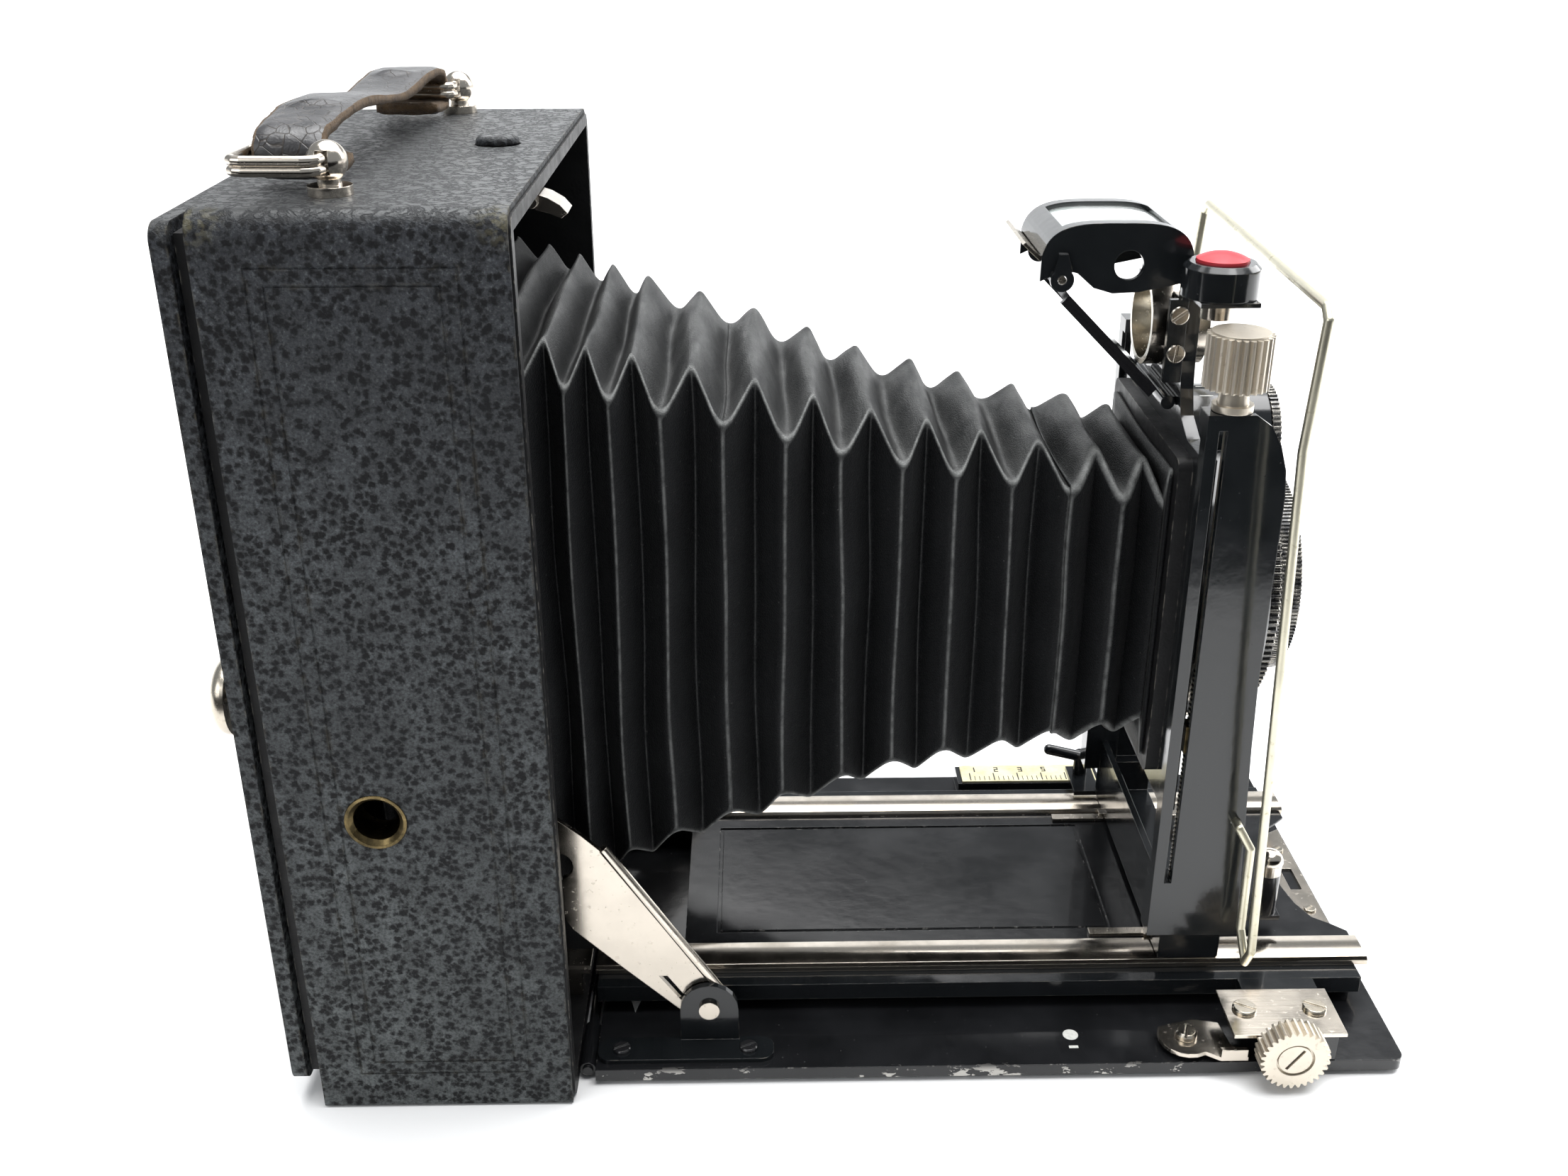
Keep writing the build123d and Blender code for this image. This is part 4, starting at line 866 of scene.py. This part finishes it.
def screw_thread():
    """Fine thread on the rise screw."""
    low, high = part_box("rise_screw")
    axis = ((low.x + high.x) / 2, (low.y + high.y) / 2)
    verts, faces = [], []
    steps, pitch = 14, 0.0010                          # points in a turn, and its rise
    root, crest, half = 0.00090, 0.00112, 0.00042      # two radii, and half a thread's height
    z, top = 0.0325, 0.078
    count = int((top - z) / pitch * steps)
    for i in range(count + 1):
        a = 2 * math.pi * i / steps
        h = z + pitch * i / steps
        for r, dz in ((root, -half), (crest, 0.0), (root, half)):
            verts.append((axis[0] + r * math.cos(a), axis[1] + r * math.sin(a), h + dz))
    for i in range(count):
        for j in range(2):
            faces.append((i * 3 + j, i * 3 + j + 1, i * 3 + j + 4, i * 3 + j + 3))
        faces.append((i * 3 + 2, i * 3, i * 3 + 3, i * 3 + 5))
    faces += [(0, 1, 2), (count * 3 + 2, count * 3 + 1, count * 3)]
    piece("rise_thread", verts, faces, "rise_drive", [MATERIALS["steel_dark"]])


bed_marks()
scale_marks()
drum_marks()
screw_thread()
viewing_glass()


# ---- studio and camera ----------------------------------------------------
def area_light(name, place, target, size, power):
    data = bpy.data.lights.new(name, "AREA")
    data.shape = "RECTANGLE"
    data.size, data.size_y = size
    data.energy = power
    made = bpy.data.objects.new(name, data)
    bpy.context.scene.collection.objects.link(made)
    made.location = place
    made.rotation_euler = (Vector(target) - Vector(place)).to_track_quat("-Z", "Y").to_euler()


def stage_piece(name, points, faces, mat, unseen_by=()):
    """A piece of the studio, left out of the kinds of ray named."""
    mesh = bpy.data.meshes.new(name)
    mesh.from_pydata(points, [], faces)
    mesh.materials.append(mat)
    made = bpy.data.objects.new(name, mesh)
    bpy.context.scene.collection.objects.link(made)
    for ray in unseen_by:
        setattr(made, "visible_" + ray, False)


def upright_sheet(name, x0, x1, y, top, mat, unseen_by):
    corners = [(x0, y, 0), (x1, y, 0), (x1, y, top), (x0, y, top)]
    stage_piece(name, corners, [(0, 1, 2, 3)], mat, unseen_by)


def glowing_paper(name, dark, light, strength):
    """White paper that gives light of its own, from dark to light."""
    f = Finish(name)
    f.set((0.8, 0.8, 0.8), 0.9)
    shade = f.mix(f.noise(2.0, 1.0), dark, light)
    f.tree.links.new(shade, f.bsdf.inputs["Emission Color"])
    f.bsdf.inputs["Emission Strength"].default_value = strength
    return f.mat


def floor():
    """Pale paper just under the object's base."""
    f = Finish("floor_paper")
    f.set(f.mix(f.noise(9.0, 2.0), (0.86, 0.86, 0.86), (0.90, 0.90, 0.90)), 0.75)
    z = -0.0002
    stage_piece("floor", [(-6, -6, z), (6, -6, z), (6, 9, z), (-6, 9, z)], [(0, 1, 2, 3)], f.mat)


def black_card():
    """A card before the camera that only reflections see, as upright black enamel needs."""
    f = Finish("card_black", specular=0.0)
    f.set(f.mix(f.noise(9.0, 2.0), (0.004, 0.004, 0.004), (0.006, 0.006, 0.006)), 1.0)
    upright_sheet("black_card", -0.6, 0.9, -0.24, 0.17, f.mat,
                  ("camera", "diffuse", "transmission", "shadow", "volume_scatter"))


def backdrop():
    """Pale sheet beyond the object, seen only by reflections and bounces, for a grazing sheen."""
    paper = glowing_paper("backdrop_paper", (0.94, 0.97, 1.0), (0.98, 0.99, 1.0), 0.8)
    upright_sheet("backdrop", -14, 14, 3.6, 1.4, paper, ("camera",))


def horizon():
    """Pale wall round the floor, seen by the camera alone: a plain background for low views."""
    paper = glowing_paper("horizon_paper", (0.98, 0.98, 0.98), (1.0, 1.0, 1.0), 1.6)
    around, radius, top = 96, 5.8, 4.0
    turns = [2 * math.pi * i / around for i in range(around)]
    points = [(radius * math.cos(a), radius * math.sin(a), z) for z in (-0.001, top) for a in turns]
    stage_piece("horizon", points, tube_faces(2, around), paper,
                ("diffuse", "glossy", "transmission", "shadow", "volume_scatter"))


floor()
black_card()
backdrop()
horizon()
area_light("overhead", (0.25, 0.35, 1.0), (0.05, 0, 0.05), (1.4, 1.1), 15)
area_light("left_front", (-0.75, -0.75, 0.75), (0.05, 0, 0.08), (0.7, 0.7), 4)
area_light("right_back", (0.95, 0.5, 0.6), (0.08, 0, 0.08), (0.5, 0.7), 6)
sky = bpy.data.lights.new("sky_panel", "SUN")
sky.energy = 3.4
sky.angle = math.radians(50)
sky_object = bpy.data.objects.new("sky_panel", sky)
bpy.context.scene.collection.objects.link(sky_object)
sky_object.rotation_euler = Vector((0.05, 0.05, 1.0)).to_track_quat("Z", "Y").to_euler()
bpy.context.scene.view_settings.view_transform = "Standard"
world = bpy.data.worlds.new("studio")
world.use_nodes = True
world.node_tree.nodes["Background"].inputs["Color"].default_value = (0.9, 0.95, 1.0, 1.0)
world.node_tree.nodes["Background"].inputs["Strength"].default_value = 0.36
bpy.context.scene.world = world

# the photograph's viewpoint, solved from its perspective
lens = bpy.data.cameras.new("camera")
lens.sensor_width = 36.0
lens.lens = 35.21
lens.clip_start = 0.01
lens.clip_end = 50.0
camera = bpy.data.objects.new("camera", lens)
bpy.context.scene.collection.objects.link(camera)
right = Vector((0.99983605, -0.018067, -0.00121075))
up = Vector((0.00864041, 0.41726489, 0.90874384))
back = -Vector((0.01591307, 0.9086053, -0.41735258))
view = Matrix((right, up, back)).transposed().to_4x4()
view.translation = Vector((0.0354664 + BODY_FRONT, -0.2793644, 0.2085124))
camera.matrix_world = view
bpy.context.scene.camera = camera
